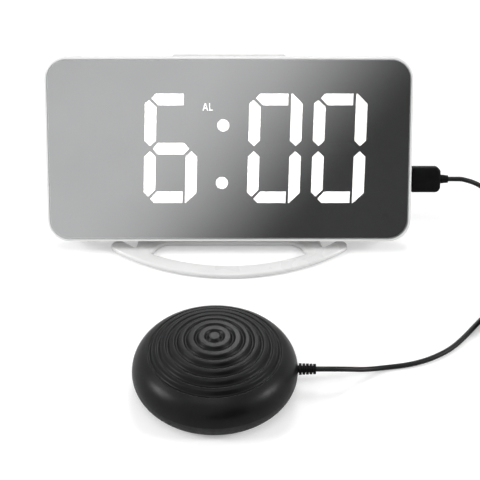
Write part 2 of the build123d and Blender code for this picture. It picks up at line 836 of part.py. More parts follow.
# Coin cell, its holder on the board and the twist-off cap
lug_front = inner_rear - fit_gap - cap_lug_height
holder_top = lug_front - slide_gap
cell_front = holder_top - cell_thickness - fit_gap
with BuildPart() as cell_holder:
    with BuildSketch(battery_plane(board_rear)):
        Circle(cell_radius + holder_clear + holder_wall)
    extrude(amount=holder_top - board_rear)
    with BuildSketch(battery_plane(holder_top)):
        Circle(cell_radius + holder_clear)
        with Locations((0, cell_radius + holder_wall)):
            Rectangle(cell_radius, 3 * holder_wall)
    extrude(amount=-(holder_top - cell_front), mode=Mode.SUBTRACT)
cell_holder.part.label = "cell_holder"
export_step(cell_holder.part, "parts/cell_holder.step")

with BuildPart() as coin_cell:
    with BuildSketch(battery_plane(cell_front)):
        Circle(cell_radius)
    extrude(amount=cell_thickness)
    chamfer(coin_cell.faces().sort_by(outward)[0].edges(), length=cell_rounding)
coin_cell.part.label = "coin_cell"
export_step(coin_cell.part, "parts/coin_cell.step")

with BuildPart() as battery_cap:
    with BuildSketch(battery_plane(head_depth)):
        Circle(cap_radius)
    extrude(amount=-cap_flange)
    with BuildSketch(battery_plane(head_depth - cap_flange)):
        Circle(cap_plug_radius)
    extrude(amount=-(head_depth - cap_flange - lug_front))
    with BuildSketch(battery_plane(lug_front)):
        for angle in (0, 180):
            Polygon(*wedge(lug_reach, angle, cap_lug_angle), align=None)
        Circle(lug_reach, mode=Mode.INTERSECT)
    extrude(amount=cap_lug_height)
    with BuildSketch(battery_plane(head_depth)):
        SlotOverall(cap_slot_length, cap_slot_width)
    extrude(amount=-cap_slot_depth, mode=Mode.SUBTRACT)
battery_cap.part.label = "battery_cap"
export_step(battery_cap.part, "parts/battery_cap.step")

# Power inlet: a barrel socket through the rear wall
with BuildPart() as power_inlet:
    with BuildSketch(back_layer(board_rear)):
        with Locations((inlet_shift, -inlet_drop)):
            RectangleRounded(inlet_body, inlet_body, fit_gap)
    extrude(amount=inner_rear - fit_gap - board_rear)
    with BuildSketch(back_layer(inner_rear - fit_gap)):
        with Locations((inlet_shift, -inlet_drop)):
            Circle(inlet_nose_radius)
    extrude(amount=rear_wall + fit_gap)
    with BuildSketch(back_layer(head_depth)):
        with Locations((inlet_shift, -inlet_drop)):
            Circle(inlet_bore)
    extrude(amount=-inlet_bore_depth, mode=Mode.SUBTRACT)
    with BuildSketch(back_layer(head_depth - inlet_bore_depth)):
        with Locations((inlet_shift, -inlet_drop)):
            Circle(inlet_pin)
    extrude(amount=inlet_bore_depth - overrun)
power_inlet.part.label = "power_inlet"
export_step(power_inlet.part, "parts/power_inlet.step")

# Alarm buzzer: a round can with its sound port towards the slots
with BuildPart() as alarm_buzzer:
    with BuildSketch(back_layer(board_rear)):
        with Locations((buzzer_shift, -buzzer_rise)):
            Circle(buzzer_radius)
    extrude(amount=buzzer_height)
    chamfer(alarm_buzzer.faces().sort_by(outward)[0].edges(), length=button_bevel)
    with BuildSketch(back_layer(board_rear + buzzer_height)):
        with Locations((buzzer_shift, -buzzer_rise)):
            Circle(buzzer_port)
    extrude(amount=-buzzer_height / 2, mode=Mode.SUBTRACT)
alarm_buzzer.part.label = "alarm_buzzer"
export_step(alarm_buzzer.part, "parts/alarm_buzzer.step")

# Shell screws from the back, and the two screws that hold the neck
shell_screw_seat = back_layer(frame_depth + counterbore_floor)
shell_screw_solids = [
    screw(shell_screw_seat, (x, -y), case_shank, counterbore_floor + case_bite, case_head, case_head_height)
    for x, y in corner_places
]
with BuildPart() as shell_screws:
    add(shell_screw_solids)
shell_screws.part.label = "shell_screws"
export_step(shell_screws.part, "parts/shell_screws.step")

stand_screw_seat = back_layer(head_depth + neck_wall)
stand_screw_reach = neck_wall + rear_wall + neck_boss_depth - 2 * overrun
stand_screw_solids = [
    screw(stand_screw_seat, (x, -y), case_shank, stand_screw_reach, case_head, case_head_height)
    for x, y in neck_screw_places
]
with BuildPart() as stand_screws:
    add(stand_screw_solids)
stand_screws.part.label = "stand_screws"
export_step(stand_screws.part, "parts/stand_screws.step")

# Shaker socket in the right side: metal shell and contact tongue
socket_plane = side_plane.offset(-socket_inset)
with BuildPart() as socket_shell:
    with BuildSketch(socket_plane):
        SlotOverall(socket_width, socket_height)
    extrude(amount=-socket_length)
    with BuildSketch(socket_plane):
        SlotOverall(socket_width - 2 * socket_wall, socket_height - 2 * socket_wall)
    extrude(amount=-socket_length, mode=Mode.SUBTRACT)
socket_shell.part.label = "socket_shell"
export_step(socket_shell.part, "parts/socket_shell.step")

with BuildPart() as socket_tongue:
    with BuildSketch(side_plane.offset(-socket_inset - socket_length)):
        SlotOverall(socket_width - 2 * socket_wall, socket_height - 2 * socket_wall)
    extrude(amount=socket_back)
    with BuildSketch(side_plane.offset(-socket_inset - socket_length + socket_back)):
        RectangleRounded(tongue_width, tongue_thickness, tongue_thickness / 3)
    extrude(amount=tongue_length)
socket_tongue.part.label = "socket_tongue"
export_step(socket_tongue.part, "parts/socket_tongue.step")

# Plug: metal shell, overmould with its collar, and strain relief
with BuildPart() as plug_shell:
    with BuildSketch(side_plane):
        SlotOverall(plug_shell_width, plug_shell_height)
    extrude(amount=-plug_shell_reach)
    with BuildSketch(side_plane):
        SlotOverall(plug_shell_width - 2 * plug_shell_wall, plug_shell_height - 2 * plug_shell_wall)
    extrude(amount=-plug_shell_reach, mode=Mode.SUBTRACT)
plug_shell.part.label = "plug_shell"
export_step(plug_shell.part, "parts/plug_shell.step")

overmould_plane = side_plane.offset(collar_length)
with BuildPart() as plug_overmould:
    with BuildSketch(Plane(origin=overmould_plane.origin, x_dir=(1, 0, 0), z_dir=-face.z_dir)) as top_view:
        with Locations((overmould_length / 2, 0)):
            Rectangle(overmould_length, overmould_width)
        fillet(top_view.vertices().group_by(Axis.X)[-1], radius=overmould_end_rounding)
    extrude(amount=overmould_height / 2, both=True)
    broad_faces = plug_overmould.faces().sort_by(outward)
    fillet(broad_faces[0].edges() + broad_faces[-1].edges(), radius=overmould_rounding)
    with BuildSketch(side_plane):
        SlotOverall(collar_width, collar_height)
    extrude(amount=collar_length)
plug_overmould.part.label = "plug_overmould"
export_step(plug_overmould.part, "parts/plug_overmould.step")

relief_start = collar_length + overmould_length
with BuildPart() as plug_relief:
    with BuildSketch(side_plane.offset(relief_start)):
        Circle(plug_relief_radius)
    with BuildSketch(side_plane.offset(relief_start + plug_relief_length)):
        Circle(plug_relief_end_radius)
    loft(ruled=True)
plug_relief.part.label = "plug_relief"
export_step(plug_relief.part, "parts/plug_relief.step")

# Ring stand: front crescent, round rear half with its window, and the hollow neck behind the head
crescent_middle = crescent_radius - crescent_width / 2
crescent_centre = (0, lens_edge_y - crescent_front + crescent_radius)
window_inner = crescent_radius - crescent_width
window_side = lens_edge_y - crescent_front + crescent_radius - sqrt(window_inner**2 - window_half_width**2)
window_back = lens_edge_y + window_rear
neck_bottom = -head_height / 2 + neck_low
neck_top = neck_bottom + neck_rise
neck_front_low = layer(head_depth).from_local_coords((0, neck_bottom))
neck_front_high = layer(head_depth).from_local_coords((0, neck_top))
neck_back_high = layer(head_depth + neck_thickness).from_local_coords((0, neck_top))
neck_toe = (neck_front_low.Y + neck_foot, plate_top)
neck_curve = (
    (neck_back_high.Y + neck_toe[0]) / 2 - neck_thickness / 2,
    (neck_back_high.Z + neck_toe[1]) / 2 - neck_thickness,
)
side_view = Plane(origin=(0, 0, 0), x_dir=(0, 1, 0), z_dir=(1, 0, 0))
foot_places = [(2 * ring_radius * i, lens_edge_y + 2 * ring_radius * j) for i, j in foot_places_shares]


def neck_outline(floor):
    """Edges of the neck's side view, closed at the given height."""
    front_low = (neck_front_low.Y, neck_front_low.Z)
    front_high = (neck_front_high.Y, neck_front_high.Z)
    back_high = (neck_back_high.Y, neck_back_high.Z)
    edges = [Line(front_low, front_high), Line(front_high, back_high)]
    edges.append(ThreePointArc(back_high, neck_curve, neck_toe))
    edges.append(Line(neck_toe, (neck_toe[0], floor)))
    edges.append(Line((neck_toe[0], floor), (front_low[0], floor)))
    edges.append(Line((front_low[0], floor), front_low))
    return edges


neck_solid_edges = neck_outline(foot_proud + plate_bottom_bevel)
neck_hollow_edges = neck_outline(-2 * neck_wall)
with BuildPart() as neck:
    with BuildSketch(side_view):
        make_face(neck_solid_edges)
    extrude(amount=neck_width / 2, both=True)
    fillet(neck.faces().filter_by(GeomType.CYLINDER).edges().filter_by(GeomType.CIRCLE), radius=neck_rounding)
with BuildPart() as stand:
    with BuildSketch(Plane.XY.offset(foot_proud)) as plan:
        with Locations((0, lens_edge_y + ring_behind)):
            Circle(ring_radius)
        with Locations(crescent_centre):
            Circle(crescent_radius, mode=Mode.INTERSECT)
        with BuildLine(mode=Mode.PRIVATE):
            band_line = CenterArc(
                crescent_centre, crescent_middle, -90 - crescent_half_angle, 2 * crescent_half_angle
            )
        SlotArc(band_line, crescent_width)
        fillet(plan.vertices().sort_by(lambda corner: abs(corner.X))[:2], radius=notch_rounding)
    extrude(amount=plate_thickness)
    with BuildSketch(Plane.XY.offset(foot_proud)) as window:
        with BuildLine():
            ThreePointArc(
                (-window_half_width, window_side),
                (0, lens_edge_y - crescent_front + crescent_width),
                (window_half_width, window_side),
            )
            Polyline(
                (window_half_width, window_side),
                (window_rear_half_width, window_back),
                (-window_rear_half_width, window_back),
                (-window_half_width, window_side),
            )
        make_face()
        fillet(window.vertices().group_by(Axis.Y)[-1], radius=window_corner)
    extrude(amount=plate_thickness, mode=Mode.SUBTRACT)
    chamfer(stand.faces().sort_by(Axis.Z)[-1].edges(), length=plate_top_bevel)
    chamfer(stand.faces().sort_by(Axis.Z)[0].edges(), length=plate_bottom_bevel)
    add(neck.part)
    with BuildSketch(side_view):
        make_face(neck_hollow_edges)
        offset(amount=-neck_wall, kind=Kind.INTERSECTION)
    extrude(amount=neck_width / 2 - neck_wall, both=True, mode=Mode.SUBTRACT)
    with BuildSketch(back_layer(head_depth)):
        with Locations(*[(x, -y) for x, y in neck_screw_places]):
            Circle(case_clear)
    extrude(amount=neck_thickness, mode=Mode.SUBTRACT)
    with BuildSketch(back_layer(head_depth + neck_wall)):
        with Locations(*[(x, -y) for x, y in neck_screw_places]):
            Circle(counterbore_radius)
    extrude(amount=neck_foot, mode=Mode.SUBTRACT)
    with BuildSketch(Plane.XY.offset(foot_proud)):
        with Locations(*foot_places):
            Circle(foot_radius + fit_gap)
    extrude(amount=foot_sunk, mode=Mode.SUBTRACT)
stand.part.label = "stand"
export_step(stand.part, "parts/stand.step")

# Rubber feet of the stand
with BuildPart() as stand_feet:
    with BuildSketch():
        with Locations(*foot_places):
            Circle(foot_radius)
    extrude(amount=foot_proud + foot_sunk)
stand_feet.part.label = "stand_feet"
export_step(stand_feet.part, "parts/stand_feet.step")

# Puck planes: its side view through the middle, and circles round its motor's axis
puck_side = Plane(origin=(puck_shift, puck_y, 0), x_dir=(1, 0, 0), z_dir=(0, -1, 0))
puck_axis = Axis((puck_shift, puck_y, 0), (0, 0, 1))
dome_centre = puck_height - dome_radius
equator_rise = puck_equator - dome_centre
bulge_radius = (dome_radius**2 - puck_radius**2 - equator_rise**2) / (2 * (dome_radius - puck_radius))
bulge_middle = puck_radius - bulge_radius
blend_angle = asin(bulge_middle / (dome_radius - bulge_radius))
under_width = puck_radius - puck_base_radius
under_radius = (under_width**2 + puck_equator**2) / (2 * under_width)
under_middle = puck_radius - under_radius
case_screw_x = case_screw_circle * cos(radians(case_screw_angle))
case_screw_y = case_screw_circle * sin(radians(case_screw_angle))
pillar_places = [(i * case_screw_x, j * case_screw_y) for i in (-1, 1) for j in (-1, 1)]
screw_seat = case_head_height + puck_wall
pillar_foot = screw_seat + counterbore_floor
motor_middle = motor_front + motor_length / 2


def across(distance):
    """The plane square to the motor's axis, the given distance to the right of the puck's middle."""
    return Plane(origin=(puck_shift + distance, puck_y, 0), x_dir=(0, 1, 0), z_dir=(1, 0, 0))


def puck_level(height):
    """The level plane through the puck at the given height."""
    return Plane(origin=(puck_shift, puck_y, height))


def dome_height(radius, inset):
    """Height of the dome, or of a surface the inset below it, at a distance from its axis."""
    return dome_centre + sqrt((dome_radius - inset) ** 2 - radius**2)


def rim_outline(inset):
    """The bulging rim of the top shell's section, from the dome to the equator, the inset inside its skin."""
    bulge = bulge_radius - inset
    points = []
    for turn in (pi / 2 - blend_angle, pi / 4 - blend_angle / 2, 0):
        points.append((bulge_middle + bulge * cos(turn), puck_equator + bulge * sin(turn)))
    return points


# Shaker top shell: the moulded dome with its ring ribs, pillars and half of the cord's way in
skin_points = [(0, puck_height)]
for share in rib_place_shares:
    place = share * puck_radius
    half = groove_width / 2 * (1 - share / 2)
    floor_half = half * groove_floor_share
    skin_points.append((place - half, dome_height(place - half, 0)))
    skin_points.append((place - floor_half, dome_height(place - floor_half, groove_depth)))
    skin_points.append((place + floor_half, dome_height(place + floor_half, groove_depth)))
    skin_points.append((place + half, dome_height(place + half, 0)))
skin_rim = rim_outline(0)
hollow_rim = rim_outline(puck_wall)
hollow_places = [share * puck_radius for share in hollow_shares]
hollow_points = [(place, dome_height(place, puck_wall)) for place in hollow_places]
with BuildPart() as shaker_top_shell:
    with BuildSketch(puck_side):
        with BuildLine():
            Polyline(*skin_points, skin_rim[0])
            ThreePointArc(*skin_rim)
            Polyline(skin_rim[-1], *reversed(hollow_rim), *hollow_points, (0, puck_height - puck_wall))
            Line((0, puck_height - puck_wall), (0, puck_height))
        make_face()
    revolve(axis=puck_axis)
    with BuildSketch(puck_level(pillar_foot)):
        with Locations(*pillar_places):
            Circle(pillar_radius)
    extrude(amount=dome_height(case_screw_circle, puck_wall / 2) - pillar_foot)
    with BuildSketch(puck_level(pillar_foot)):
        with Locations(*pillar_places):
            Circle(case_shank + thread_gap)
    extrude(amount=case_bite + fit_gap, mode=Mode.SUBTRACT)
    with BuildSketch(across(puck_radius - puck_wall - overrun)):
        with Locations((0, puck_equator)):
            Circle(gland_radius + fit_gap)
    extrude(amount=puck_wall + 2 * overrun, mode=Mode.SUBTRACT)
shaker_top_shell.part.label = "shaker_top_shell"
export_step(shaker_top_shell.part, "parts/shaker_top_shell.step")

# Shaker base: floor, tongue inside the top shell, screw bosses and the motor's cradle
inner_under = under_radius - puck_wall
floor_edge = under_middle + sqrt(inner_under**2 - (puck_equator - puck_wall) ** 2)


def under_point(radius, turn):
    """A point of the under rounding, the turn counted from straight down."""
    return (under_middle + radius * sin(turn), puck_equator - radius * cos(turn))


tongue_outer = puck_radius - puck_wall - tongue_gap
with BuildPart() as shaker_base:
    with BuildSketch(puck_side):
        with BuildLine():
            Polyline((0, puck_wall), (0, 0), (puck_base_radius, 0))
            ThreePointArc(
                (puck_base_radius, 0),
                under_point(under_radius, (pi / 2 + asin((puck_base_radius - under_middle) / under_radius)) / 2),
                (puck_radius, puck_equator),
            )
            Polyline(
                (puck_radius, puck_equator),
                (puck_radius - puck_wall, puck_equator),
                under_point(inner_under, (pi / 2 + asin((floor_edge - under_middle) / inner_under)) / 2),
                (floor_edge, puck_wall),
                (0, puck_wall),
            )
        make_face()
    revolve(axis=puck_axis)
    with BuildSketch(puck_side):
        Polygon(
            (tongue_outer - tongue_wall, puck_equator - tongue_root),
            (puck_radius - puck_wall / 2, puck_equator - tongue_root),
            (puck_radius - puck_wall / 2, puck_equator),
            (tongue_outer, puck_equator),
            (tongue_outer, puck_equator + tongue_height),
            (tongue_outer - tongue_wall, puck_equator + tongue_height),
            align=None,
        )
    revolve(axis=puck_axis)
    with BuildSketch(puck_level(puck_wall)):
        with Locations(*pillar_places):
            Circle(base_boss_radius)
    extrude(amount=pillar_foot - puck_wall)
    with BuildSketch(puck_level(puck_wall)):
        with Locations((motor_middle, 0)):
            Rectangle(cradle_length, 2 * cradle_half_width)
    extrude(amount=cradle_top - puck_wall)
    with BuildSketch(across(motor_middle)):
        with Locations((0, motor_height)):
            Circle(motor_radius)
    extrude(amount=cradle_length, both=True, mode=Mode.SUBTRACT)
    with BuildSketch(puck_level(0)):
        with Locations(*pillar_places):
            Circle(counterbore_radius)
    extrude(amount=screw_seat, mode=Mode.SUBTRACT)
    with BuildSketch(puck_level(0)):
        with Locations(*pillar_places):
            Circle(case_clear)
    extrude(amount=pillar_foot + overrun, mode=Mode.SUBTRACT)
    with BuildSketch(puck_level(cradle_top)):
        with Locations(*[(motor_middle, i * clamp_screw_place) for i in (-1, 1)]):
            Circle(small_shank + thread_gap)
    extrude(amount=-(clamp_screw_reach + fit_gap), mode=Mode.SUBTRACT)
    with BuildSketch(across(puck_radius - puck_wall - 2 * overrun)):
        with Locations((0, puck_equator)):
            Circle(gland_radius + fit_gap)
    extrude(amount=puck_wall + 3 * overrun, mode=Mode.SUBTRACT)
shaker_base.part.label = "shaker_base"
export_step(shaker_base.part, "parts/shaker_base.step")

under_screw_seat = Plane(origin=(puck_shift, puck_y, screw_seat), x_dir=(1, 0, 0), z_dir=(0, 0, -1))
case_screw_solids = [
    screw(under_screw_seat, (x, y), case_shank, counterbore_floor + case_bite, case_head, case_head_height)
    for x, y in pillar_places
]
with BuildPart() as shaker_screws:
    add(case_screw_solids)
shaker_screws.part.label = "shaker_screws"
export_step(shaker_screws.part, "parts/shaker_screws.step")

# Vibration motor: can, end cap, shaft and the eccentric weight, heavy side down at rest
with BuildPart() as motor_can:
    with BuildSketch(across(motor_front)):
        with Locations((0, motor_height)):
            Circle(motor_radius)
    extrude(amount=motor_length)
    chamfer(motor_can.faces().sort_by(Axis.X)[0].edges(), length=motor_bevel)
    with BuildSketch(across(motor_front)):
        with Locations((0, motor_height)):
            Circle(cap_boss_radius)
    extrude(amount=-motor_bevel)
    with BuildSketch(across(motor_front + shaft_in)):
        with Locations((0, motor_height)):
            Circle(shaft_radius + shaft_gap)
    extrude(amount=-(shaft_in + 2 * motor_bevel), mode=Mode.SUBTRACT)
motor_can.part.label = "motor_can"
export_step(motor_can.part, "parts/motor_can.step")

with BuildPart() as motor_end_cap:
    with BuildSketch(across(motor_front + motor_length)):
        with Locations((0, motor_height)):
            Circle(motor_radius - motor_bevel)
    extrude(amount=motor_bevel)
    with BuildSketch(across(motor_front + motor_length + motor_bevel)):
        with Locations((0, motor_height)):
            Circle(cap_boss_radius)
    extrude(amount=cap_boss_length)
motor_end_cap.part.label = "motor_end_cap"
export_step(motor_end_cap.part, "parts/motor_end_cap.step")

weight_end = motor_front - motor_bevel - weight_gap - weight_width
with BuildPart() as motor_shaft:
    with BuildSketch(across(motor_front + shaft_in - shaft_gap)):
        with Locations((0, motor_height)):
            Circle(shaft_radius)
    extrude(amount=weight_end - shaft_tail - motor_front - shaft_in + shaft_gap)
motor_shaft.part.label = "motor_shaft"
export_step(motor_shaft.part, "parts/motor_shaft.step")

with BuildPart() as eccentric_weight:
    with BuildSketch(across(weight_end)):
        with Locations((0, motor_height)):
            Circle(weight_radius)
            with Locations((0, weight_radius / 2)):
                Rectangle(2 * weight_radius, weight_radius, mode=Mode.SUBTRACT)
            Circle(weight_hub_radius)
            Circle(shaft_radius, mode=Mode.SUBTRACT)
    extrude(amount=weight_width)
eccentric_weight.part.label = "eccentric_weight"
export_step(eccentric_weight.part, "parts/eccentric_weight.step")

# Motor clamp: a strap over the can with two screwed ears
clamp_level = cradle_top + clamp_thickness
with BuildPart() as motor_clamp:
    with BuildSketch(across(motor_middle)):
        with Locations((0, motor_height)):
            Circle(motor_radius + clamp_thickness)
        with Locations((0, cradle_top - motor_radius)):
            Rectangle(2 * cradle_half_width, 2 * motor_radius, mode=Mode.SUBTRACT)
        with Locations((0, cradle_top + clamp_thickness / 2)):
            Rectangle(2 * cradle_half_width, clamp_thickness)
        with Locations((0, motor_height)):
            Circle(motor_radius, mode=Mode.SUBTRACT)
    extrude(amount=cradle_length / 2, both=True)
    with BuildSketch(puck_level(cradle_top)):
        with Locations(*[(motor_middle, i * clamp_screw_place) for i in (-1, 1)]):
            Circle(small_shank + fit_gap)
    extrude(amount=clamp_thickness, mode=Mode.SUBTRACT)
motor_clamp.part.label = "motor_clamp"
export_step(motor_clamp.part, "parts/motor_clamp.step")

clamp_screw_solids = [
    screw(
        puck_level(clamp_level),
        (motor_middle, i * clamp_screw_place),
        small_shank,
        clamp_thickness + clamp_screw_reach,
        small_head,
        small_head_height,
    )
    for i in (-1, 1)
]
with BuildPart() as clamp_screws:
    add(clamp_screw_solids)
clamp_screws.part.label = "clamp_screws"
export_step(clamp_screws.part, "parts/clamp_screws.step")

# Cord gland of the puck: flange inside the wall, core through it and beads outside
gland_start = puck_radius - puck_wall - gland_set
gland_end = puck_radius + gland_beads * gland_bead_pitch
gland_line = Plane(origin=(puck_shift, puck_y, puck_equator), x_dir=(1, 0, 0), z_dir=(0, -1, 0))
with BuildPart() as shaker_gland:
    with BuildSketch(gland_line):
        Polygon(
            (gland_start - gland_flange_width, 0),
            (gland_start - gland_flange_width, gland_flange_radius),
            (gland_start, gland_flange_radius),
            (gland_start, gland_radius),
            (puck_radius, gland_radius),
            (puck_radius, gland_core_radius),
            (gland_end, gland_core_radius),
            (gland_end, 0),
            align=None,
        )
        for i in range(gland_beads):
            bead_radius = gland_bead_radius + (gland_bead_end_radius - gland_bead_radius) * i / gland_beads
            bead_start = puck_radius + i * gland_bead_pitch + gland_bead_pitch / 4
            with Locations((bead_start + gland_bead_pitch * 3 / 8, bead_radius / 2)):
                Rectangle(gland_bead_pitch * 3 / 4, bead_radius)
    revolve(axis=Axis(gland_line.origin, (1, 0, 0)))
shaker_gland.part.label = "shaker_gland"
export_step(shaker_gland.part, "parts/shaker_gland.step")

# Cord. The points of each free stretch between its straight ends are chosen by hand.
shaker_route = [
    (58.5, -56.6, 6.9),
    (67.0, -53.0, 3.2),
    (77.0, -49.6, 1.35),
    (90.2, -47.4, 1.35),
    (102.3, -42.3, 1.35),
    (113.7, -34.0, 1.35),
]
plug_route = [
    (146.6, 17.0, 8.6),
    (151.4, 27.2, 3.6),
    (154.8, 38.2, 1.35),
    (156.6, 49.6, 1.6),
    (154.6, 59.6, 6.0),
    (149.4, 64.4, 14.6),
    (142.2, 65.2, 23.8),
    (134.4, 63.9, 31.0),
]

# Coil: turns clockwise from above, in and out by turns, each biarc half a turn
cord_radius = cord_diameter / 2
coil_pitch = cord_diameter + coil_gap
coil_low = floor_gap + tie_thickness + tie_gap + cord_radius
coil_steps = coil_layers * coil_half_turns_per_layer
coil_sweep = coil_steps / 2 * 360 - (coil_end_angle - coil_start_angle)
step_angle = coil_sweep / coil_steps


def coil_node(index):
    """Place and direction of the coil's line at the end of a half turn."""
    level, step = divmod(index, coil_half_turns_per_layer)
    inward = level % 2 == 0
    if index == coil_steps:
        level, step, inward = level - 1, coil_half_turns_per_layer, False
    drift = step if inward else coil_half_turns_per_layer - 1 - step
    radius = coil_outer_radius - drift * coil_pitch / 2
    angle = radians(coil_start_angle - index * step_angle)
    slope = atan((-1 if inward else 1) * coil_pitch / (2 * pi * radius))
    place = Vector(coil_x + radius * cos(angle), coil_y + radius * sin(angle), coil_low + level * coil_pitch)
    along = Vector(sin(angle), -cos(angle), 0) * cos(slope)
    outwards = Vector(cos(angle), sin(angle), 0) * sin(slope)
    return place, along + outwards


def biarc_joint(start, start_way, end, end_way):
    """The point where two tangent arcs between two places and directions meet."""
    reach = end - start
    square = 2 * (start_way.dot(end_way) - 1)
    linear = -2 * reach.dot(start_way + end_way)
    size = (-linear - sqrt(linear**2 - 4 * square * reach.dot(reach))) / (2 * square)
    return (start + start_way * size + end - end_way * size) / 2


def distance_least(points, apart):
    """The least distance between points of a line that are at least the given count apart."""
    least = coil_outer_radius
    for i, first in enumerate(points):
        for second in points[i + apart :]:
            least = min(least, hypot(first[0] - second[0], first[1] - second[1], first[2] - second[2]))
    return least


coil_nodes = [coil_node(i) for i in range(coil_steps + 1)]
coil_in = coil_nodes[0][0] - coil_nodes[0][1] * cord_diameter
coil_out = coil_nodes[-1][0] + coil_nodes[-1][1] * cord_diameter
coil_edges = [Line(coil_in, coil_nodes[0][0])]
for (start, start_way), (end, end_way) in zip(coil_nodes, coil_nodes[1:]):
    joint = biarc_joint(start, start_way, end, end_way)
    coil_edges.append(TangentArc(start, joint, tangent=start_way))
    coil_edges.append(TangentArc(joint, end, tangent=coil_edges[-1] % 1))
coil_edges.append(Line(coil_nodes[-1][0], coil_out))
coil_line = Wire(coil_edges)
with BuildPart() as cord_coil:
    with BuildSketch(Plane(origin=coil_in, z_dir=coil_nodes[0][1])):
        RegularPolygon(cord_radius, tube_sides)
    sweep(path=coil_line)
cord_coil.part.label = "cord_coil"
export_step(cord_coil.part, "parts/cord_coil.step")

samples_per_arc = 10
coil_points = []
for edge in coil_edges[1:-1]:
    for i in range(samples_per_arc):
        coil_points.append(tuple(edge @ (i / samples_per_arc)))
coil_clear = distance_least(coil_points, 2 * samples_per_arc) - cord_diameter
print("coil turns", coil_steps / 2, "least gap to itself", round(coil_clear, 3))
cord_section = tube_sides / 2 * cord_radius**2 * sin(2 * pi / tube_sides)
coil_share = cord_coil.part.volume / (cord_section * coil_line.length)
print("coil length", round(coil_line.length), "volume share", round(coil_share, 4))


def corner_radii(points):
    """One radius for each corner of a route, as large as its two runs allow."""
    radii = []
    for before, corner, after in zip(points, points[1:], points[2:]):
        first = Vector(*corner) - Vector(*before)
        second = Vector(*after) - Vector(*corner)
        turn = radians(first.get_angle(second))
        radii.append(corner_share * min(first.length, second.length) / tan(turn / 2))
    return radii


def tube(points):
    """A cord along a route, with the length of its line."""
    radii = corner_radii(points)
    line = FilletPolyline(*points, radius=radii)
    way = Vector(*points[1]) - Vector(*points[0])
    section = Plane(origin=points[0], z_dir=way) * RegularPolygon(cord_radius, tube_sides)
    print("cord radii", [round(radius, 1) for radius in radii], "length", round(line.length, 1))
    return sweep(section, path=line), line.length


gland_face = (puck_shift + gland_end, puck_y, puck_equator)
gland_lead = (gland_face[0] + cord_lead, puck_y, puck_equator)
coil_in_lead = coil_in - coil_nodes[0][1] * coil_in_run
shaker_points = [gland_face, gland_lead, *shaker_route, tuple(coil_in_lead), tuple(coil_in)]
plug_end = side_plane.offset(relief_start + plug_relief_length).origin
plug_lead = plug_end + Vector(1, 0, 0) * cord_lead
coil_out_lead = coil_out + coil_nodes[-1][1] * coil_out_run
plug_points = [tuple(coil_out), tuple(coil_out_lead), *plug_route, tuple(plug_lead), tuple(plug_end)]

cord_to_shaker, shaker_cord_length = tube(shaker_points)
with BuildPart() as cord_shaker_stretch:
    add(cord_to_shaker)
cord_shaker_stretch.part.label = "cord_shaker_stretch"
export_step(cord_shaker_stretch.part, "parts/cord_shaker_stretch.step")

cord_from_plug, plug_cord_length = tube(plug_points)
with BuildPart() as cord_plug_stretch:
    add(cord_from_plug)
cord_plug_stretch.part.label = "cord_plug_stretch"
export_step(cord_plug_stretch.part, "parts/cord_plug_stretch.step")

print("cord volume share", round(cord_shaker_stretch.part.volume / (cord_section * shaker_cord_length), 4))
print("cord volume share", round(cord_plug_stretch.part.volume / (cord_section * plug_cord_length), 4))
print("cord length", round(shaker_cord_length + coil_line.length + plug_cord_length))

# Tie: a flat band round the whole bundle at the coil's right side
coil_inner = coil_outer_radius - coil_half_turns_per_layer * coil_pitch / 2 - cord_radius
coil_outer = coil_outer_radius + coil_pitch / 2 + cord_radius
tie_inner = sqrt(coil_inner**2 - tie_width**2 / 4) - tie_gap
tie_outer = coil_outer + tie_gap
tie_low = floor_gap + tie_thickness
tie_high = coil_low + (coil_layers - 1) * coil_pitch + cord_radius + tie_gap
tie_view = Plane(origin=(coil_x, coil_y, 0), x_dir=(1, 0, 0), z_dir=(0, -1, 0))
with BuildPart() as cord_tie:
    with BuildSketch(tie_view):
        with Locations(((tie_inner + tie_outer) / 2, (tie_low + tie_high) / 2)):
            RectangleRounded(
                tie_outer - tie_inner + 2 * tie_thickness, tie_high - tie_low + 2 * tie_thickness, 2 * tie_thickness
            )
            RectangleRounded(tie_outer - tie_inner, tie_high - tie_low, tie_thickness, mode=Mode.SUBTRACT)
    extrude(amount=tie_width / 2, both=True)
cord_tie.part.label = "cord_tie"
export_step(cord_tie.part, "parts/cord_tie.step")
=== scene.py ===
# %% [markdown]
# # A mirror-faced alarm clock with a bed shaker
# The real clock is a flat plastic case behind a half mirror: its lit digits show through the mirror, and when
# they are off the face is a plain mirror. It leans back on a ring-shaped foot. A round ribbed puck with a
# motor inside lies under the pillow and shakes the sleeper awake; its cord plugs into the clock's side.
# The solid parts come from a finished model of the whole clock. This file dresses them: it rebuilds the
# pieces that the eye rests on, lays the cord, and gives every part a surface.

# %% Load the frame
import math

import bmesh
import bpy
from mathutils import Matrix, Vector


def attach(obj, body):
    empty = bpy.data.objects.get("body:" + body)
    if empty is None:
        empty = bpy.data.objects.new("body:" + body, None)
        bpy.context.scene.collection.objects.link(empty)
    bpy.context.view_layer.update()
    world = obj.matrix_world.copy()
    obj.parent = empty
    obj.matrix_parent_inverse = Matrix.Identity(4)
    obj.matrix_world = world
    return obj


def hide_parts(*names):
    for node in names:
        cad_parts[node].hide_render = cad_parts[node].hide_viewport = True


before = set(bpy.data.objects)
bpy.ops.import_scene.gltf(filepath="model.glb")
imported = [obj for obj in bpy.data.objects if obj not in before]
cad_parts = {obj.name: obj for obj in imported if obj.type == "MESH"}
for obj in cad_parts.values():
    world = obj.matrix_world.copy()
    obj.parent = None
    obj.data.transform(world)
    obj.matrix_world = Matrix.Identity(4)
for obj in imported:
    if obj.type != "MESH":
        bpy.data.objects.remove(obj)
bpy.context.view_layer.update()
MM = 0.001
print("solid parts loaded:", len(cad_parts))

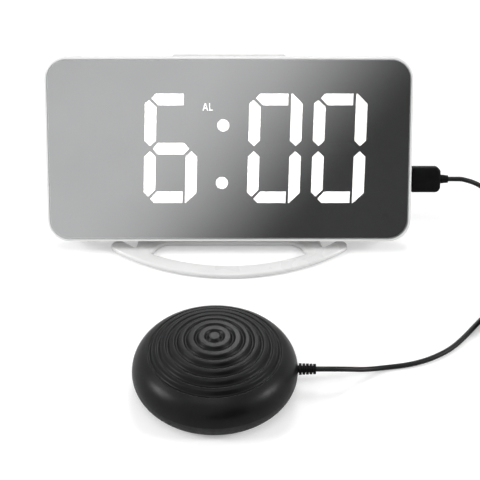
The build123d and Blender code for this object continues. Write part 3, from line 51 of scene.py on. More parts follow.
# %% [markdown]
# ## The camera
# The clock is looked at from a little above, as by a person standing at the bedside table. A long lens keeps
# the face nearly square, as in a catalogue picture, so the camera stands well back and zooms in. It is made
# first, because every later choice is judged through it.

# %% Camera
camera = bpy.data.objects.new("bedside_camera", bpy.data.cameras.new("bedside_camera"))
bpy.context.scene.collection.objects.link(camera)
camera.location = (0.00585, -0.5503, 0.4720)
camera.rotation_euler = (math.radians(52), 0, 0)
camera.data.sensor_width = 36
camera.data.lens = 104.6
bpy.context.scene.camera = camera
bpy.context.scene.view_settings.view_transform = "Standard"
print("camera looks down by", round(90 - math.degrees(camera.rotation_euler.x), 1), "degrees")

# %% [markdown]
# ## The cord
# One flexible cord runs from the puck along the table, round a tied bundle of spare turns, and up into the
# clock's side. It could be a mesh tube, but a NURBS curve with a round bevel keeps one centreline that a
# solver can read, and stays smooth at any distance. The points of the free runs are listed one by one, and the
# turns of the bundle, which a hand winds evenly, come from a loop: a half turn more lies a little further in
# or out, and every seven half turns a level higher. All these places are in millimetres.

# %% Points along the cord
CORD = 2.6
ON_TABLE, IN_GLAND = 1.35, 9.3
PUCK_X, PUCK_Y = -6.2, -59.043
PLUG_Y, PLUG_Z = 63.154, 34.511
BUNDLE_X, BUNDLE_Y = 155.6, -14.2
WIDEST, EXIT_RADIUS, DRIFT = 20.1, 21.7, 1.6
LOWEST, LEVEL_RISE, HIGHEST = 2.35, 3.2, 11.95
HALF_TURNS, PER_LEVEL, PER_HALF_TURN = 28, 7, 14
START_ANGLE, HALF_TURN_ANGLE = 141.7, 179.704
run_to_shaker = [
    (42.4, PUCK_Y, IN_GLAND), (46.3, PUCK_Y, IN_GLAND), (50.2, PUCK_Y, IN_GLAND),
    (58.5, -56.6, 6.9), (67.0, -53.0, 3.2), (77.0, -49.6, ON_TABLE), (90.2, -47.4, ON_TABLE),
    (102.3, -42.3, ON_TABLE), (113.7, -34.0, ON_TABLE), (128.571, -15.273, LOWEST), (138.163, -3.741, LOWEST),
]  # fmt: skip
run_to_plug = [
    (138.054, -1.068, HIGHEST), (142.370, 6.829, HIGHEST), (146.6, 17.0, 8.6), (151.4, 27.2, 3.6),
    (154.8, 38.2, ON_TABLE), (156.6, 49.6, 1.6), (154.6, 59.6, 6.0), (149.4, 64.4, 14.6), (142.2, 65.2, 23.8),
    (134.4, 63.9, 31.0), (125.8, PLUG_Y, PLUG_Z), (121.9, PLUG_Y, PLUG_Z), (118.0, PLUG_Y, PLUG_Z),
]  # fmt: skip


def bundle_place(half_turns):
    """Where the cord lies in its bundle, after so many half turns from the bundle's start."""
    places = []
    for count in (math.floor(half_turns), math.floor(half_turns) + 1):
        level, step = divmod(count, PER_LEVEL)
        inwards = step if level % 2 == 0 else PER_LEVEL - 1 - step
        radius = EXIT_RADIUS if count == HALF_TURNS else WIDEST - DRIFT * inwards
        places.append((radius, LOWEST + LEVEL_RISE * level))
    share = half_turns - math.floor(half_turns)
    radius = places[0][0] + share * (places[1][0] - places[0][0])
    height = places[0][1] + share * (min(places[1][1], HIGHEST) - places[0][1])
    angle = math.radians(START_ANGLE - HALF_TURN_ANGLE * half_turns)
    return BUNDLE_X + radius * math.cos(angle), BUNDLE_Y + radius * math.sin(angle), height


bundle = [bundle_place(i / PER_HALF_TURN) for i in range(HALF_TURNS * PER_HALF_TURN)]
cord_points = run_to_shaker + bundle + run_to_plug
print("cord points:", len(cord_points))

# %% [markdown]
# The curve's order and its end setting are written after its points, since adding points resets them. The
# round sleeve is the bevel depth times each point's radius. Blender widens a curve's box by the point radius
# itself, so the points get a small radius and the depth makes up for it.

# %% Lay the cord
POINT_RADIUS = 0.001
cord_curve = bpy.data.curves.new("shaker_cord", "CURVE")
cord_curve.dimensions = "3D"
cord_line = cord_curve.splines.new("NURBS")
cord_line.points.add(len(cord_points) - 1)
for point, place in zip(cord_line.points, cord_points):
    point.co = (place[0] * MM, place[1] * MM, place[2] * MM, 1)
    point.radius = POINT_RADIUS
cord_line.order_u = 3
cord_line.use_endpoint_u = True
cord_line.resolution_u = 6
cord_curve.bevel_depth = CORD / 2 * MM / POINT_RADIUS
cord_curve.bevel_resolution = 4
cord_curve.use_fill_caps = True
shaker_cord = bpy.data.objects.new("shaker_cord", cord_curve)
bpy.context.scene.collection.objects.link(shaker_cord)
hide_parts("cord_shaker_stretch", "cord_coil", "cord_plug_stretch")
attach(shaker_cord, "clock_and_shaker")
print("cord laid:", CORD, "mm thick, order", cord_line.order_u)

# %% [markdown]
# ## Table and light
# The product stands on a wide pale table that keeps its shadow. A small glow that only the camera sees lifts
# the table to white, so the light on the clock itself stays at a plain level.

# %% Pale table
bpy.ops.object.select_all(action="DESELECT")
bpy.ops.mesh.primitive_plane_add(size=6, location=(0, 0, 0))
table_top = bpy.context.active_object
table_top.name = "pale_table"
table_finish = bpy.data.materials.new("pale_table")
table_finish.use_nodes = True
table_tree = table_finish.node_tree
table_shader = table_tree.nodes["Principled BSDF"]
table_shader.inputs["Base Color"].default_value = (0.76, 0.76, 0.76, 1)
table_shader.inputs["Roughness"].default_value = 0.7
table_shader.inputs["Specular IOR Level"].default_value = 0.1
table_shader.inputs["Emission Color"].default_value = (1, 1, 1, 1)
table_rays = table_tree.nodes.new("ShaderNodeLightPath")
table_lift = table_tree.nodes.new("ShaderNodeMath")
table_lift.operation = "MULTIPLY"
table_lift.inputs[1].default_value = 0.30
table_tree.links.new(table_rays.outputs["Is Camera Ray"], table_lift.inputs[0])
table_tree.links.new(table_lift.outputs["Value"], table_shader.inputs["Emission Strength"])
table_top.data.materials.append(table_finish)
print("table, metres wide:", round(table_top.dimensions.x, 2))

# %% [markdown]
# A mirror only looks like a mirror when it has something to show. In a studio that is a white room with a
# dark cloth hung at one side, whose soft edge crosses the glass as a slanting shade. Here the world does it:
# white all round, and dark beyond a slanted line low in front on the right, for mirror-like rays only.

# %% Helpers for the studio
studio = bpy.data.worlds.new("studio")
bpy.context.scene.world = studio
studio.use_nodes = True
tree = studio.node_tree
room = tree.nodes["Background"]
direction = tree.nodes.new("ShaderNodeTexCoord")


def toward(across, up):
    """A direction in front of the clock, from degrees to the right and degrees above the table."""
    turn, rise = math.radians(across), math.radians(up)
    return Vector((math.sin(turn) * math.cos(rise), -math.cos(turn) * math.cos(rise), math.sin(rise)))


def side_of(edge, from_value, to_value):
    """A soft step over directions: 0 on one side of a plane through the clock, 1 on the other."""
    dot = tree.nodes.new("ShaderNodeVectorMath")
    dot.operation = "DOT_PRODUCT"
    dot.inputs[1].default_value = edge
    tree.links.new(direction.outputs["Generated"], dot.inputs[0])
    step = tree.nodes.new("ShaderNodeMapRange")
    step.interpolation_type = "SMOOTHSTEP"
    step.inputs["From Min"].default_value = from_value
    step.inputs["From Max"].default_value = to_value
    tree.links.new(dot.outputs["Value"], step.inputs["Value"])
    return step.outputs["Result"]


print("studio nodes:", [node.name for node in tree.nodes])

# %% [markdown]
# The cloth is where two soft steps meet: one across its slanted edge, and one that keeps it low in front on
# the right. How bright the room looks then depends on the kind of ray: white straight to the camera or through
# something clear, white with the cloth for reflections, and a plainer level for all light that falls on things.

# %% Studio world
cloth_edge = toward(3.1, 23.4).cross(toward(-3.6, 16.0)).normalized()
if cloth_edge.dot(toward(20, 5)) < 0:
    cloth_edge = -cloth_edge
cloth = tree.nodes.new("ShaderNodeMath")
cloth.operation = "MULTIPLY"
tree.links.new(side_of(cloth_edge, -0.045, 0.075), cloth.inputs[0])
tree.links.new(side_of(toward(12, 10), 0.75, 0.93), cloth.inputs[1])
cloth_tone = tree.nodes.new("ShaderNodeMapRange")
cloth_tone.inputs["To Min"].default_value = 1.0
cloth_tone.inputs["To Max"].default_value = 0.09
tree.links.new(cloth.outputs["Value"], cloth_tone.inputs["Value"])
rays = tree.nodes.new("ShaderNodeLightPath")
falling_light = tree.nodes.new("ShaderNodeMix")
falling_light.inputs["A"].default_value = 0.56
tree.links.new(rays.outputs["Is Glossy Ray"], falling_light.inputs["Factor"])
tree.links.new(cloth_tone.outputs["Result"], falling_light.inputs["B"])
white_seen = tree.nodes.new("ShaderNodeMath")
white_seen.operation = "MAXIMUM"
tree.links.new(rays.outputs["Is Camera Ray"], white_seen.inputs[0])
tree.links.new(rays.outputs["Is Transmission Ray"], white_seen.inputs[1])
strength = tree.nodes.new("ShaderNodeMix")
strength.inputs["B"].default_value = 1.0
tree.links.new(white_seen.outputs["Value"], strength.inputs["Factor"])
tree.links.new(falling_light.outputs["Result"], strength.inputs["A"])
tree.links.new(strength.outputs["Result"], room.inputs["Strength"])
room.inputs["Color"].default_value = (1, 1, 1, 1)
print("room lights things at", falling_light.inputs["A"].default_value)

# %% [markdown]
# Four soft boxes add the highlights and the soft shadows, as in a small product studio. They stand where the
# mirror doesn't show them, and are dimmed until no white surface burns out.


# %% Soft boxes
def soft_light(name, place, aim, width, power):
    """A square soft box at a place, turned toward a point."""
    lamp = bpy.data.lights.new(name, "AREA")
    lamp.size = width
    lamp.energy = power
    box = bpy.data.objects.new(name, lamp)
    bpy.context.scene.collection.objects.link(box)
    box.location = place
    box.rotation_euler = (Vector(aim) - Vector(place)).to_track_quat("-Z", "Y").to_euler()


soft_light("rear_soft_box", (0.06, 0.95, 0.98), (0, -0.06, 0.02), 0.31, 4.8)
soft_light("overhead_soft_box", (-0.10, -0.40, 1.30), (0, 0, 0.03), 0.6, 2.6)
soft_light("left_soft_box", (-1.15, -0.18, 0.70), (0, -0.05, 0.02), 0.35, 8.5)
soft_light("right_soft_box", (1.12, -0.24, 0.68), (0, -0.05, 0.02), 0.28, 6.0)

# %% [markdown]
# ## Making a surface
# Real plastic, rubber and steel are never one flat colour: moulding leaves a faint mottle, handling changes
# the gloss in patches, and the tool's grain shows in raking light. Each finish below starts from one shader
# whose constant values sit on its own sockets, and then gets up to three such layers. Textures use object
# coordinates, and every part has its origin at the middle of the table, so sizes are in real millimetres.


# %% Helpers for surfaces
def shader_of(finish):
    """The one shader that a finish is made with."""
    return finish.node_tree.nodes["Principled BSDF"]


def surface(name, **values):
    """A new finish with one shader, its constant values set straight on the sockets."""
    finish = bpy.data.materials.new(name)
    finish.use_nodes = True
    for socket, value in values.items():
        shader_of(finish).inputs[socket.replace("_", " ")].default_value = value
    return finish


def patches(finish, size, stretch=(1, 1, 1), detail=3.0):
    """Cloudy noise with patches of about the given size in millimetres; stretch draws them out."""
    nodes, links = finish.node_tree.nodes, finish.node_tree.links
    place = nodes.new("ShaderNodeTexCoord")
    scale = nodes.new("ShaderNodeMapping")
    scale.inputs["Scale"].default_value = [1 / (size * MM * s) for s in stretch]
    noise = nodes.new("ShaderNodeTexNoise")
    noise.inputs["Scale"].default_value = 1.0
    noise.inputs["Detail"].default_value = detail
    links.new(place.outputs["Object"], scale.inputs["Vector"])
    links.new(scale.outputs["Vector"], noise.inputs["Vector"])
    return noise.outputs["Fac"]


def tint(finish, source, low, high, start=0.35, end=0.65):
    """The base colour runs from one tone to another with a texture's value."""
    ramp = finish.node_tree.nodes.new("ShaderNodeValToRGB")
    ramp.color_ramp.elements[0].position = start
    ramp.color_ramp.elements[0].color = (*low, 1)
    ramp.color_ramp.elements[1].position = end
    ramp.color_ramp.elements[1].color = (*high, 1)
    finish.node_tree.links.new(source, ramp.inputs["Fac"])
    finish.node_tree.links.new(ramp.outputs["Color"], shader_of(finish).inputs["Base Color"])


def gloss(finish, source, low, high):
    """The roughness runs between two values with a texture's value."""
    run = finish.node_tree.nodes.new("ShaderNodeMapRange")
    run.inputs["From Min"].default_value = 0.3
    run.inputs["From Max"].default_value = 0.7
    run.inputs["To Min"].default_value = low
    run.inputs["To Max"].default_value = high
    finish.node_tree.links.new(source, run.inputs["Value"])
    finish.node_tree.links.new(run.outputs["Result"], shader_of(finish).inputs["Roughness"])


def grain(finish, source, height):
    """A texture's value raises the surface by up to the given height in millimetres."""
    relief = finish.node_tree.nodes.new("ShaderNodeBump")
    relief.inputs["Distance"].default_value = height * MM
    finish.node_tree.links.new(source, relief.inputs["Height"])
    finish.node_tree.links.new(relief.outputs["Normal"], shader_of(finish).inputs["Normal"])


finishes = {}


def ready(slot, finish):
    """Keeps a finish for the parts of a slot and says so."""
    finishes[slot] = finish
    print("finish for", slot + ":", finish.name)


# %% [markdown]
# ### White case and foot
# The case and the foot are moulded in glossy white plastic. A polished tool leaves long shallow waves, like
# orange peel, that only show in reflections, and the white is a touch warmer where the wall is thin.

# %% White plastic
white = surface("glossy_white_plastic", Specular_IOR_Level=0.5, Coat_Weight=0.25, Coat_Roughness=0.12)
tint(white, patches(white, 30.0, detail=1.0), (0.755, 0.755, 0.750), (0.775, 0.775, 0.772))
gloss(white, patches(white, 12.0, detail=1.0), 0.26, 0.32)
grain(white, patches(white, 9.0, detail=0.0), 0.004)
ready("white_shell", white)

# %% [markdown]
# ### Black shaker puck
# The puck is satin black rubber-like plastic: soft highlights, a fine spark-eroded grain, and slightly
# greyer patches where it has been handled.

# %% Black satin rubber
satin = surface("satin_black_rubber", Specular_IOR_Level=0.16)
tint(satin, patches(satin, 9.0), (0.0022, 0.0022, 0.0025), (0.0045, 0.0045, 0.0048))
gloss(satin, patches(satin, 3.0), 0.31, 0.37)
grain(satin, patches(satin, 0.35, detail=2.0), 0.018)
ready("shaker_black", satin)
under = surface("matt_black_underside", Specular_IOR_Level=0.3)
tint(under, patches(under, 6.0), (0.006, 0.006, 0.0063), (0.012, 0.012, 0.012))
gloss(under, patches(under, 2.0), 0.45, 0.60)
grain(under, patches(under, 0.3, detail=2.0), 0.03)
ready("shaker_under", under)

# %% [markdown]
# ### Cord, plug and tie
# The cord's sleeve is extruded and has faint streaks along it, the plug's body is moulded round the metal,
# and the tie is a twisted flat wire with a plastic skin.

# %% Black sleeves
sleeve = surface("cord_sleeve", Specular_IOR_Level=0.22)
tint(sleeve, patches(sleeve, 5.0), (0.004, 0.004, 0.004), (0.008, 0.008, 0.008))
gloss(sleeve, patches(sleeve, 2.0), 0.32, 0.44)
grain(sleeve, patches(sleeve, 0.5), 0.02)
ready("cord_black", sleeve)
plug = surface("plug_body", Specular_IOR_Level=0.09)
tint(plug, patches(plug, 4.0), (0.002, 0.002, 0.0022), (0.004, 0.004, 0.0042))
gloss(plug, patches(plug, 1.6), 0.40, 0.52)
grain(plug, patches(plug, 0.25, detail=2.0), 0.02)
ready("plug_black", plug)
tie = surface("tie_skin", Specular_IOR_Level=0.5)
tint(tie, patches(tie, 3.0), (0.015, 0.015, 0.015), (0.03, 0.03, 0.03))
gloss(tie, patches(tie, 1.5), 0.25, 0.40)
grain(tie, patches(tie, 0.4, stretch=(1, 6, 1)), 0.03)
ready("tie_black", tie)

# %% [markdown]
# ### Inside the face
# Behind the mirror sits a dull black tray that keeps each segment's light to itself. The diffusers are milky
# plastic: a lit one glows a little brighter or dimmer in soft patches, a dark one is smoky grey.

# %% Tray and diffusers
tray = surface("matt_black_tray", Specular_IOR_Level=0.3)
tint(tray, patches(tray, 6.0), (0.008, 0.008, 0.008), (0.016, 0.016, 0.016))
gloss(tray, patches(tray, 2.0), 0.6, 0.8)
grain(tray, patches(tray, 0.4, detail=2.0), 0.03)
ready("black_tray", tray)
lit = surface(
    "lit_diffuser", Base_Color=(0.9, 0.9, 0.9, 1), Roughness=0.5, Emission_Color=(1.0, 0.985, 0.96, 1)
)
glow = lit.node_tree.nodes.new("ShaderNodeMapRange")
glow.inputs["To Min"].default_value = 3.15
glow.inputs["To Max"].default_value = 3.7
lit.node_tree.links.new(patches(lit, 9.0, detail=1.0), glow.inputs["Value"])
lit.node_tree.links.new(glow.outputs["Result"], shader_of(lit).inputs["Emission Strength"])
ready("lit_diffuser", lit)
smoky = surface("smoky_diffuser", Specular_IOR_Level=0.3)
tint(smoky, patches(smoky, 4.0), (0.020, 0.020, 0.021), (0.032, 0.032, 0.033))
gloss(smoky, patches(smoky, 2.0), 0.45, 0.6)
ready("dark_diffuser", smoky)

# %% [markdown]
# ### Electronics
# The board is green lacquer over glass cloth and copper, chips are moulded epoxy, and a light chip has a
# yellow phosphor lens.

# %% Board and chips
board = surface("green_board", Specular_IOR_Level=0.5, Coat_Weight=0.3)
tracks = patches(board, 2.4, stretch=(1, 0.25, 1), detail=0.0)
tint(board, tracks, (0.010, 0.075, 0.028), (0.018, 0.125, 0.045), 0.46, 0.54)
gloss(board, patches(board, 3.0), 0.25, 0.40)
grain(board, patches(board, 0.6), 0.03)
ready("board", board)
chip = surface("moulded_chip", Specular_IOR_Level=0.4)
tint(chip, patches(chip, 1.5), (0.014, 0.014, 0.015), (0.028, 0.028, 0.030))
gloss(chip, patches(chip, 0.8), 0.45, 0.62)
grain(chip, patches(chip, 0.2), 0.02)
ready("chip", chip)
phosphor = surface("phosphor_light", Specular_IOR_Level=0.5)
tint(phosphor, patches(phosphor, 0.8), (0.70, 0.62, 0.22), (0.85, 0.80, 0.55))
gloss(phosphor, patches(phosphor, 0.5), 0.25, 0.35)
ready("light_chip", phosphor)
switch = surface("switch_plastic", Specular_IOR_Level=0.45)
tint(switch, patches(switch, 2.0), (0.018, 0.018, 0.019), (0.034, 0.034, 0.035))
gloss(switch, patches(switch, 1.0), 0.35, 0.50)
grain(switch, patches(switch, 0.25), 0.02)
ready("switch", switch)

# %% [markdown]
# ### Metals
# Stamped steel has fine drawn lines, the coin cell and the socket shell are plated and brighter, the motor
# can is dull, and the weight is sintered heavy metal with a fine grit.


# %% Metals
def metal(name, tones, rough, size, stretch, height):
    """A metal with drawn or gritty texture, two tones and a run of roughness."""
    made = surface(name, Metallic=1.0)
    lines = patches(made, size, stretch)
    tint(made, lines, tones[0], tones[1])
    gloss(made, patches(made, 3 * size), *rough)
    grain(made, lines, height)
    return made


drawn = ((0.42, 0.42, 0.43), (0.56, 0.56, 0.57))
ready("steel", metal("drawn_steel", drawn, (0.24, 0.36), 0.3, (8, 1, 1), 0.006))
plated = ((0.56, 0.56, 0.55), (0.68, 0.68, 0.67))
ready("cell", metal("plated_steel", plated, (0.16, 0.28), 0.3, (6, 1, 1), 0.004))
dull = ((0.34, 0.34, 0.34), (0.46, 0.46, 0.46))
ready("motor_steel", metal("motor_can_steel", dull, (0.3, 0.45), 0.5, (10, 1, 1), 0.008))
gritty = ((0.30, 0.29, 0.27), (0.40, 0.39, 0.36))
ready("weight_metal", metal("sintered_weight", gritty, (0.4, 0.55), 0.25, (1, 1, 1), 0.02))

# %% [markdown]
# ### Keys and feet
# The rear keys are pale grey plastic with a satin finish, and the feet are clear-grey soft rubber.

# %% Keys and feet
keys = surface("pale_grey_key", Specular_IOR_Level=0.45)
tint(keys, patches(keys, 3.0), (0.60, 0.60, 0.60), (0.68, 0.68, 0.675))
gloss(keys, patches(keys, 1.5), 0.35, 0.48)
grain(keys, patches(keys, 0.4), 0.01)
ready("control", keys)
feet = surface("soft_grey_rubber", Specular_IOR_Level=0.4, Subsurface_Weight=0.1)
shader_of(feet).inputs["Subsurface Radius"].default_value = (0.001, 0.001, 0.001)
tint(feet, patches(feet, 2.0), (0.42, 0.42, 0.42), (0.52, 0.52, 0.52))
gloss(feet, patches(feet, 1.0), 0.5, 0.65)
grain(feet, patches(feet, 0.3), 0.02)
ready("foot_rubber", feet)

# %% [markdown]
# ### The half mirror
# A half mirror is a very thin metal film: part of the light comes back as a clear reflection and the rest
# goes through. Mixing a mirror-like metal with a see-through shader gives both, so the digits show from
# behind while the dark tray stays hidden. The film is never perfectly flat, so it has long faint waves.

# %% Half mirror
film = surface("half_mirror_film", Metallic=1.0)
tint(film, patches(film, 60.0), (0.60, 0.605, 0.61), (0.64, 0.645, 0.65))
gloss(film, patches(film, 25.0), 0.02, 0.045)
grain(film, patches(film, 45.0, detail=1.0), 0.02)
clear = film.node_tree.nodes.new("ShaderNodeBsdfTransparent")
clear.inputs["Color"].default_value = (1, 1, 1, 1)
share_through = film.node_tree.nodes.new("ShaderNodeMixShader")
share_through.inputs["Fac"].default_value = 0.30
film_links, film_output = film.node_tree.links, film.node_tree.nodes["Material Output"]
film_links.new(shader_of(film).outputs["BSDF"], share_through.inputs[1])
film_links.new(clear.outputs["BSDF"], share_through.inputs[2])
film_links.new(share_through.outputs["Shader"], film_output.inputs["Surface"])
ready("mirror", film)
edge_clear = surface("polished_edge", Roughness=0.08, Alpha=0.55, Specular_IOR_Level=0.5)
tint(edge_clear, patches(edge_clear, 8.0), (0.62, 0.66, 0.66), (0.72, 0.76, 0.76))
gloss(edge_clear, patches(edge_clear, 3.0), 0.05, 0.15)
print("finish for the mirror's edge:", edge_clear.name)

# %% [markdown]
# Every solid part that stays gets its finish by the name of the slot that it came with.

# %% Give the solid parts their finishes
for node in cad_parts.values():
    for place, old in enumerate(node.data.materials):
        node.data.materials[place] = finishes[old.name.split(".")[0]]
shaker_cord.data.materials.append(finishes["cord_black"])
print("finishes:", len(finishes))

# %% [markdown]
# ## Shaping by hand
# New pieces start as a primitive and are shaped in edit mode. Edit operators act on whatever is selected, so
# these helpers clear the selection first and then pick vertices, edges or faces by where they are and which
# way they look. Face pieces are drawn flat, with depth going down, and then laid on the leaning face: turned
# by the face's tilt and moved to its middle.


# %% Helpers for shaping
FACE_TILT = math.radians(63)
FACE_MIDDLE = Vector((0, 62.049, 53.929)) * MM
FACE_TURN = Matrix.Rotation(FACE_TILT, 3, "X")


def fresh():
    """Leaves edit mode and deselects everything."""
    if bpy.context.object and bpy.context.object.mode != "OBJECT":
        bpy.ops.object.mode_set(mode="OBJECT")
    bpy.ops.object.select_all(action="DESELECT")


def block(name, middle, size):
    """A cube primitive of the given size in millimetres at a place, open in edit mode."""
    fresh()
    bpy.ops.mesh.primitive_cube_add(size=1, location=[x * MM for x in middle], scale=[x * MM for x in size])
    piece = bpy.context.active_object
    piece.name = piece.data.name = name
    bpy.ops.object.transform_apply(location=True, rotation=True, scale=True)
    bpy.ops.object.mode_set(mode="EDIT")
    bpy.ops.mesh.select_all(action="DESELECT")
    return piece


def pick(piece, kind, test):
    """Selects the vertices, edges or faces of a piece in edit mode that pass a test of middle and normal."""
    bpy.context.tool_settings.mesh_select_mode = (kind == "VERT", kind == "EDGE", kind == "FACE")
    bpy.ops.mesh.select_all(action="DESELECT")
    form = bmesh.from_edit_mesh(piece.data)
    count = 0
    for part in {"VERT": form.verts, "EDGE": form.edges, "FACE": form.faces}[kind]:
        if kind == "VERT":
            middle, way = part.co, part.normal
        elif kind == "EDGE":
            start, end = (corner.co for corner in part.verts)
            middle, way = (start + end) / 2, (end - start).normalized()
        else:
            middle, way = part.calc_center_median(), part.normal
        if test(middle / MM, way):
            part.select_set(True)
            count += 1
    form.select_flush_mode()
    bmesh.update_edit_mesh(piece.data)
    return count


def traced(name, points):
    """A tiny plane merged to one vertex and extruded along a row of points in millimetres."""
    fresh()
    bpy.ops.mesh.primitive_plane_add(size=0.001, location=[x * MM for x in points[0]])
    piece = bpy.context.active_object
    piece.name = piece.data.name = name
    bpy.ops.object.transform_apply(location=True, rotation=True, scale=True)
    bpy.ops.object.mode_set(mode="EDIT")
    bpy.context.tool_settings.mesh_select_mode = (True, False, False)
    bpy.ops.mesh.select_all(action="SELECT")
    bpy.ops.mesh.merge(type="CENTER")
    for last, point in zip(points, points[1:]):
        step = [(b - a) * MM for a, b in zip(last, point)]
        bpy.ops.mesh.extrude_region_move(TRANSFORM_OT_translate={"value": step})
    bpy.ops.mesh.select_all(action="SELECT")
    return piece


def push_out(offset):
    """Closes a traced outline into a face and extrudes it by an offset in millimetres."""
    bpy.ops.mesh.edge_face_add()
    bpy.ops.mesh.extrude_region_move(TRANSFORM_OT_translate={"value": [x * MM for x in offset]})
    bpy.ops.mesh.select_all(action="SELECT")
    bpy.ops.mesh.normals_make_consistent(inside=False)


def choose(piece):
    """Makes a piece the only one selected, and the active one."""
    fresh()
    piece.select_set(True)
    bpy.context.view_layer.objects.active = piece


def joined(pieces):
    """Several pieces made one, under the first one's name."""
    choose(pieces[0])
    for piece in pieces[1:]:
        piece.select_set(True)
    if len(pieces) > 1:
        bpy.ops.object.join()
    return pieces[0]


def lay_on_face(piece):
    """Turns a piece drawn flat to the leaning face's place and bakes that in."""
    choose(piece)
    piece.rotation_euler = (FACE_TILT, 0, 0)
    piece.location = FACE_MIDDLE
    bpy.ops.object.transform_apply(location=True, rotation=True, scale=True)


def settle(piece, body, made_of, angle=40):
    """Smooths a finished piece, gives it its finishes and lets it ride on its body."""
    choose(piece)
    bpy.ops.object.shade_smooth_by_angle(angle=math.radians(angle))
    piece.data.materials.clear()
    for finish in made_of:
        piece.data.materials.append(finish)
    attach(piece, body)
    print(piece.name, "polygons:", len(piece.data.polygons))


print("the face leans back by", round(90 - math.degrees(FACE_TILT)), "degrees")

# %% [markdown]
# ## The mirror
# The glass is a flat sheet with round corners and a polished edge. A block gets its four corners rounded by a
# bevel of the upright edges, then its front edge is eased. The front face takes the mirror film and the rim
# stays clear. The back, which the frame hides, is left open, so that the digits are seen through one film.
# The front face is kept flat: smoothed together with its eased edge it would bend every reflection.

# %% Mirror sheet
LENS = (192.0, 96.0, 2.0)
LENS_CORNER, LENS_EASE = 10.6, 0.35
mirror = block("mirror_sheet", (0, 0, -LENS[2] / 2), LENS)
corners = pick(mirror, "EDGE", lambda m, w: abs(w.z) > 0.9)
bpy.ops.mesh.bevel(offset=LENS_CORNER * MM, segments=14, affect="EDGES")
pick(mirror, "EDGE", lambda m, w: m.z > -0.01)
bpy.ops.mesh.bevel(offset=LENS_EASE * MM, segments=3, affect="EDGES")
pick(mirror, "FACE", lambda m, w: w.z < -0.9)
bpy.ops.mesh.delete(type="FACE")
lay_on_face(mirror)
settle(mirror, "clock_and_shaker", [finishes["mirror"], edge_clear], 25)
face_outwards = FACE_TURN @ Vector((0, 0, 1))
for face in mirror.data.polygons:
    front = face.normal.dot(face_outwards) > 0.999
    face.material_index = 0 if front else 1
    face.use_smooth = not front
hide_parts("mirror_lens")
print("mirror corners rounded:", corners)

# %% [markdown]
# On the back of a real half mirror the margin is printed black, so that the case's corner bosses don't show
# through. The print is a thin sheet: its front face is inset and the middle is taken out as a window.

# %% Black print behind the margin
PRINT_DEPTH, PRINT_THICK, PRINT_CORNER, MARGIN = -1.9, 0.1, 10.0, 13.5
margin_print = block("margin_print", (0, 0, PRINT_DEPTH), (LENS[0] - 1, LENS[1] - 1, PRINT_THICK))
pick(margin_print, "EDGE", lambda m, w: abs(w.z) > 0.9)
bpy.ops.mesh.bevel(offset=PRINT_CORNER * MM, segments=8, affect="EDGES")
pick(margin_print, "FACE", lambda m, w: abs(w.z) > 0.9)
bpy.ops.mesh.inset(thickness=MARGIN * MM)
bpy.ops.mesh.bridge_edge_loops()
lay_on_face(margin_print)
settle(margin_print, "clock_and_shaker", [finishes["black_tray"]], 25)

# %% [markdown]
# ## The small letters
# Beside the colon the face shows that the alarm is on, with two tiny lit letters. On the real display they
# are cut out of a black print over a diffuser. Thin bars are the plainest way to make them: each is a block,
# squeezed or leaned at its top edge.


# %% Lit letters
LETTER_X, LETTER_Y, LETTER_DEPTH, LETTER_THICK = -14.0, 20.95, -1.93, 0.06
LETTER_HIGH, STROKE = 3.9, 0.52


def letter_bar(name, foot_x, head_x, low, high, width):
    """A flat bar, level at both ends, from its foot at one height to its head at another."""
    middle = (LETTER_X + (foot_x + head_x) / 2, LETTER_Y + (low + high) / 2, LETTER_DEPTH)
    bar = block(name, middle, (width, high - low, LETTER_THICK))
    lean = (head_x - foot_x) / 2 * MM
    pick(bar, "VERT", lambda m, w: m.y > middle[1])
    bpy.ops.transform.translate(value=(lean, 0, 0))
    pick(bar, "VERT", lambda m, w: m.y < middle[1])
    bpy.ops.transform.translate(value=(-lean, 0, 0))
    return bar


letter_bars = [
    letter_bar("letter_a_left", 0.3, 1.48, 0, LETTER_HIGH, STROKE),
    letter_bar("letter_a_right", 2.7, 1.52, 0, LETTER_HIGH, STROKE),
    letter_bar("letter_a_bar", 1.5, 1.5, 1.0, 1.0 + STROKE, 1.6),
    letter_bar("letter_l_stem", 3.8, 3.8, 0, LETTER_HIGH, STROKE),
    letter_bar("letter_l_foot", 4.52, 4.52, 0, STROKE, 1.96),
]
letters = joined(letter_bars)
letters.name = letters.data.name = "alarm_letters"
lay_on_face(letters)
settle(letters, "clock_and_shaker", [finishes["lit_diffuser"]])

# %% [markdown]
# ## Signs on two keys
# The plus and minus keys carry a small raised sign each, which the mould leaves on the real key. A sign is
# one or two thin blocks. Each is drawn flat and laid on its key's back, and rides with the key.

# %% Plus and minus signs
SIGN_LONG, SIGN_WIDE, SIGN_HIGH = 2.2, 0.45, 0.16


def key_back(node_name):
    """The middle of a key's back, in millimetres along the leaning face and behind it."""
    upright = Matrix.Rotation(-FACE_TILT, 3, "X")
    spots = [upright @ (corner.co - FACE_MIDDLE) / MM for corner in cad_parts[node_name].data.vertices]
    lows, highs = [min(s[i] for s in spots) for i in range(3)], [max(s[i] for s in spots) for i in range(3)]
    return (lows[0] + highs[0]) / 2, (lows[1] + highs[1]) / 2, lows[2]


for node_name, body, bar_count in (("plus_button", "plus_key", 2), ("minus_button", "minus_key", 1)):
    place = key_back(node_name)
    shapes = [(SIGN_LONG, SIGN_WIDE, SIGN_HIGH), (SIGN_WIDE, SIGN_LONG, SIGN_HIGH)][:bar_count]
    sign = joined([block(body + "_sign", place, shape) for shape in shapes])
    lay_on_face(sign)
    settle(sign, body, [finishes["switch"]])

